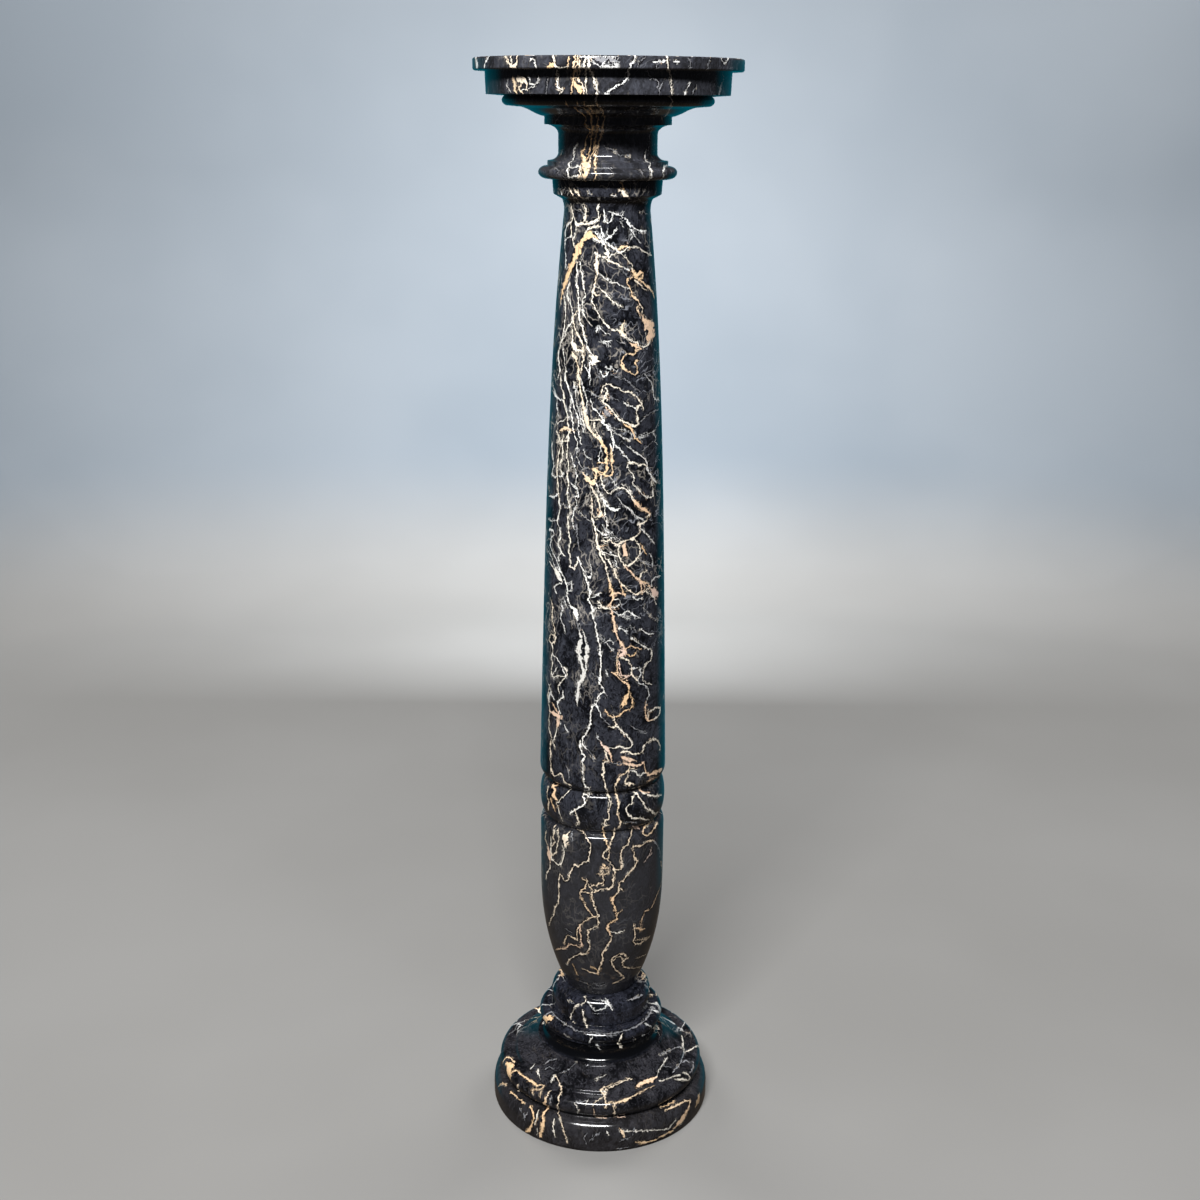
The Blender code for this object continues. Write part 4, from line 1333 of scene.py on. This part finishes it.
    "capital": """
1 0.8 0.9: 511,57 512,61 511,66
1.3 1 1.2: 506,56 508,62 511,66,1.6 515,66,1.6 517,62 517,57
0 0.8 1.6: 476,57 477,63 477,68
0.8 0.9 0.8: 555,66 562,68 567,67
0.9 1 1.1: 554,56 554,62 555,66
0 0.9 0.9: 489,56 486,62 484,67
0 0.95 1.4: 582,57 596,57
1.9 1 1.1: 569,58 568,64 567,68
0.2 0.9 0.9: 531,60 534,57 536,67
0 0.8 0.9: 606,57 601,67
0.9 1 1.2: 585,57 586,76 586,93
2 1 1.7: 549,67 552,65,2.2
0 0.7 0.9: 611,59 617,66
0 0.75 0.7: 591,59 597,65 602,67 617,67
1.7 1 1.5: 575,56 574,62 575,69 573,79
4 0.9 0.6: 656,64 657,68
0.1 1 1: 635,56 629,69 628,74 627,78
1.5 1 1.2: 580,56 580,69 579,75 578,79
0.9 1 1.3: 667,56 668,63 668,69 671,74 671,79
0 0.9 1.2: 655,62 664,61
0.8 1 1.3: 589,56 590,69 594,78
4 0.8 0.6: 689,59 690,65 689,70
4 0.8 0.8: 647,72 650,76
4 1 2: 597,58 603,60 610,59 616,61
0.2 0.8 0.8: 507,86 510,91
4 0.8 0.8: 508,79 507,84
4 0.9 0.7: 645,57 640,62 638,65
1.7 1 1.5: 513,79 515,84 515,90 517,94
1.5 1 1: 521,84 519,89 522,93
0 0.9 1.2: 675,62 678,62
0.2 0.9 0.9: 522,90 527,89 535,86 537,83 538,78
0.2 0.9 1: 529,78 530,83 533,84
4 1 0.7: 710,60 708,66 706,70
1.9 1 1.2: 573,79 571,94
1.9 1 1.8: 573,80,1.2 578,88,2.3 580,93,1.8
0 0.8 0.8: 721,58 722,61 724,64 727,61 727,57
1.4 1 1.3: 578,79 582,84 584,90 584,94
0.8 1 1.2: 594,78 597,90 597,95 596,100
1.2 1 1.9: 519,79 525,80 527,84 527,89,1.2
0 0.95 1: 627,78 624,82 618,85 606,94
4 1 0.6: 664,80 661,86 659,93
0.8 1 1: 557,72 558,77 557,82 557,87 560,89,1.4 563,90 560,94
4 1 0.7: 651,79 657,79 659,82 658,87
0.8 1 1.1: 671,79 672,95 672,100 671,105 669,110 666,116 662,119
0.1 0.9 0.9: 690,83 687,88 685,94
4 0.8 0.7: 548,79 546,93
4 1 0.6: 696,86 693,93
2 1 0.9: 566,103 572,107 578,111 583,114 586,118 587,126
2 1 1.1: 577,103 580,107 586,110 590,114 593,126 592,132 590,146 590,150 588,154 587,159
4 1 0.8: 723,74 724,79 721,85 719,94
4 0.9 0.6: 632,108 625,112 618,115
1.8 1 1: 597,103 600,108 603,112 604,119 602,132 598,146 596,150 595,156 595,163 595,170 596,175 594,181
2 1 0.9: 584,103 588,107 592,111 596,115 598,120 598,127 596,134 595,141 595,146 591,156
4 1 0.6: 605,146 609,149 614,150 617,153 621,156 625,155 629,156
4 0.9 0.6: 575,111 568,112 562,114 558,118 555,123
2 1 1: 586,127 590,131 588,135 586,140 586,146 583,150 582,154 584,159
4 0.8 0.6: 563,150 561,153
0.4 1 1: 569,166 568,172 569,178 577,175
0.3 0.9 0.9: 577,145 574,149 574,154 571,162 569,166 572,168 577,167 580,167
1.8 1 2.2: 584,158,1.5 585,163,2.3 586,168,2.8 585,173,2.7 585,182,1.5
0.1 0.8 0.8: 668,165 664,166 663,172 663,178 660,181
1.5 1 1.2: 590,158 589,165 588,171
1.4 1 1.3: 581,166 580,173 579,179
4 0.9 0.7: 640,169 642,173
0.3 1 1.1: 646,150,.4 645,157 646,161 650,165 651,170 650,179 647,182
4 0.8 0.8: 556,168 560,170 557,173
4 0.8 0.5: 652,130 650,140 648,152
4 0.8 0.6: 563,176 567,178
""",
}

# The four stones, from the floor up
stoneKinds = (
    ("footStone", "foot", footStone, footOutline),
    ("drumStone", "base_drum", drumStone, drumOutline),
    ("shaftStone", "shaft", shaftStone, shaftOutline),
    ("capitalStone", "capital", capitalStone, capitalOutline),
)
height = 0.0
for name, node, size, outlineOf in stoneKinds:
    outline, height = outlineOf(size, height)
    outline, stations = spreadPoints(softenCorners(outline, arris), size["spacing"])
    stone, across, along, reach = turnedStone(name, outline, stations, size)
    veins = readVeins(stone, outline, stations, veinRoutes[node], size["warmed"])
    drawVeins(stone, across, along, reach, veins, size["spacing"] * toMm, size["unseen"])
    dressStone(stone, node, marbleMaterial(name + "Marble", size))
    height += seatGap
print("stones: dressed")

# Floor, backdrop and light
roomLook = {
    "floor": (0.210, 0.206, 0.198),
    "wall": (0.138, 0.160, 0.182),
    "blend": (0.0, 0.25),                # heights between which one turns into the other
    "uneven": (0.6, 0.6, 0.6),           # what soft patches are mixed with
    "patches": (1.3, 3.0, 0.3, 0.7, 0.0, 0.06),
    "roughness": 0.6,
    "middle": -1.0,                      # y of the room's axis
    "radius": 3.6,
    "bend": 0.9,                         # radius of the quarter round between floor and wall
    "height": 6.0,
}


def roomPaint(name, look):
    material = bpy.data.materials.new(name)
    desk = NodeDesk(material)
    place = desk.add("ShaderNodeTexCoord").outputs["Object"]
    upward = desk.axes(place)[2]
    colour = desk.mix(desk.ramp(upward, *look["blend"]), look["floor"], look["wall"])
    uneven = desk.patches(place, *look["patches"])
    shader = desk.add("ShaderNodeBsdfPrincipled", None, Roughness=look["roughness"])
    desk.put(shader, "Base Color", desk.mix(uneven, colour, look["uneven"]))
    desk.put(desk.add("ShaderNodeOutputMaterial"), "Surface", shader.outputs[0])
    return material


def makeRoom(look):
    # A round room: flat floor, a quarter round, then the wall, as a profile (radius, z) turned about
    # an upright axis; the faces look inwards.
    turn = np.radians(np.linspace(0.0, 90.0, 24))
    bend, radius = look["bend"], look["radius"]
    profile = np.concatenate([
        [(0.001, 0.0), (radius / 2, 0.0)],
        np.stack([radius - bend + bend * np.sin(turn), bend - bend * np.cos(turn)], axis=1),
        [(radius, look["height"])],
    ])
    around = np.radians(np.linspace(0.0, 360.0, 96, endpoint=False))
    x = profile[:, 0][:, None] * np.cos(around)
    y = profile[:, 0][:, None] * np.sin(around) + look["middle"]
    z = np.repeat(profile[:, 1][:, None], len(around), axis=1)
    points = np.stack([x, y, z], axis=2).reshape(-1, 3)
    n = len(around)
    i, j = np.meshgrid(np.arange(len(profile) - 1), np.arange(n), indexing="ij")
    right = (j + 1) % n
    faces = np.stack([i * n + j, (i + 1) * n + j, (i + 1) * n + right, i * n + right], axis=2).reshape(-1, 4)
    mesh = bpy.data.meshes.new("studioRoom")
    mesh.from_pydata(points.tolist(), [], faces.tolist())
    mesh.polygons.foreach_set("use_smooth", np.ones(len(faces), dtype=bool))
    room = bpy.data.objects.new("studioRoom", mesh)
    bpy.context.scene.collection.objects.link(room)
    room.data.materials.append(roomPaint("studioPaint", look))
    room.visible_glossy = False      # the polish mirrors the air instead, and
    room.visible_diffuse = False     # the shadows on the column stay deep
    room.visible_shadow = False


makeRoom(roomLook)


def areaLight(name, place, aim, size, power, colour=(1.0, 1.0, 1.0)):
    data = bpy.data.lights.new(name, "AREA")
    data.shape = "RECTANGLE"
    data.size, data.size_y = size
    data.energy = power
    data.color = colour
    light = bpy.data.objects.new(name, data)
    bpy.context.scene.collection.objects.link(light)
    direction = np.array(aim, dtype=float) - np.array(place, dtype=float)
    turn = Vector(direction).to_track_quat("-Z", "Y").to_matrix().to_4x4()
    light.matrix_world = Matrix.Translation(place) @ turn
    light.visible_camera = False
    return light


studioLights = {
    "keyLight": {"place": (-0.36, -2.08, 2.5), "aim": (0.0, 0.0, 0.62), "size": (1.5, 0.22), "power": 172.0},
    "wallWash": {"place": (0.0, 1.25, 0.80), "aim": (0.0, 2.6, 0.70), "size": (0.6, 0.6), "power": 38.0,
                 "colour": (0.92, 0.96, 1.0)},
    "backFillLeft": {"place": (-1.5, 1.7, 2.0), "aim": (0.0, 0.0, 0.55), "size": (1.4, 1.4), "power": 45.0},
    "backFillRight": {"place": (1.5, 1.7, 2.0), "aim": (0.0, 0.0, 0.55), "size": (1.4, 1.4), "power": 45.0},
}
for name, look in studioLights.items():
    light = areaLight(name, **look)
    light.visible_glossy = not name.startswith("backFill")       # the polish shows no lamp behind it

# The light that comes from far off. Directions are given by how far they point up or backwards
airLook = {
    "front": (0.030, 0.033, 0.040),
    "below": (0.085, 0.070, 0.055),
    "behind": (0.0, 0.135, 0.19),
    "behindFrom": (0.40, 0.66),          # backwards
    "behindLow": (-0.52, -0.36),         # up
    "behindHigh": (0.08, 0.25),
    "belowUnder": (-0.62, -0.18),
}


def makeAir(look):
    # Teal behind the column near eye height, for the polish alone, warm from below, and nearly
    # nothing elsewhere.
    world = bpy.data.worlds.new("studioAir")
    bpy.context.scene.world = world
    desk = NodeDesk(world)
    way = desk.axes(desk.add("ShaderNodeTexCoord").outputs["Generated"])
    level = desk.times(desk.ramp(way[2], *look["behindLow"]),
                       desk.ramp(way[2], *look["behindHigh"], 1.0, 0.0))
    mirrored = desk.add("ShaderNodeLightPath").outputs["Is Glossy Ray"]
    teal = desk.times(desk.ramp(way[1], *look["behindFrom"]), level, mirrored)
    warm = desk.ramp(way[2], *look["belowUnder"], 1.0, 0.0)
    colour = desk.mix(teal, desk.mix(warm, look["front"], look["below"]), look["behind"])
    background = desk.add("ShaderNodeBackground", None, Color=colour, Strength=1.0)
    desk.put(desk.add("ShaderNodeOutputWorld"), "Surface", background.outputs[0])


makeAir(airLook)
bpy.context.scene.view_settings.view_transform = "Standard"
print("studio: set")
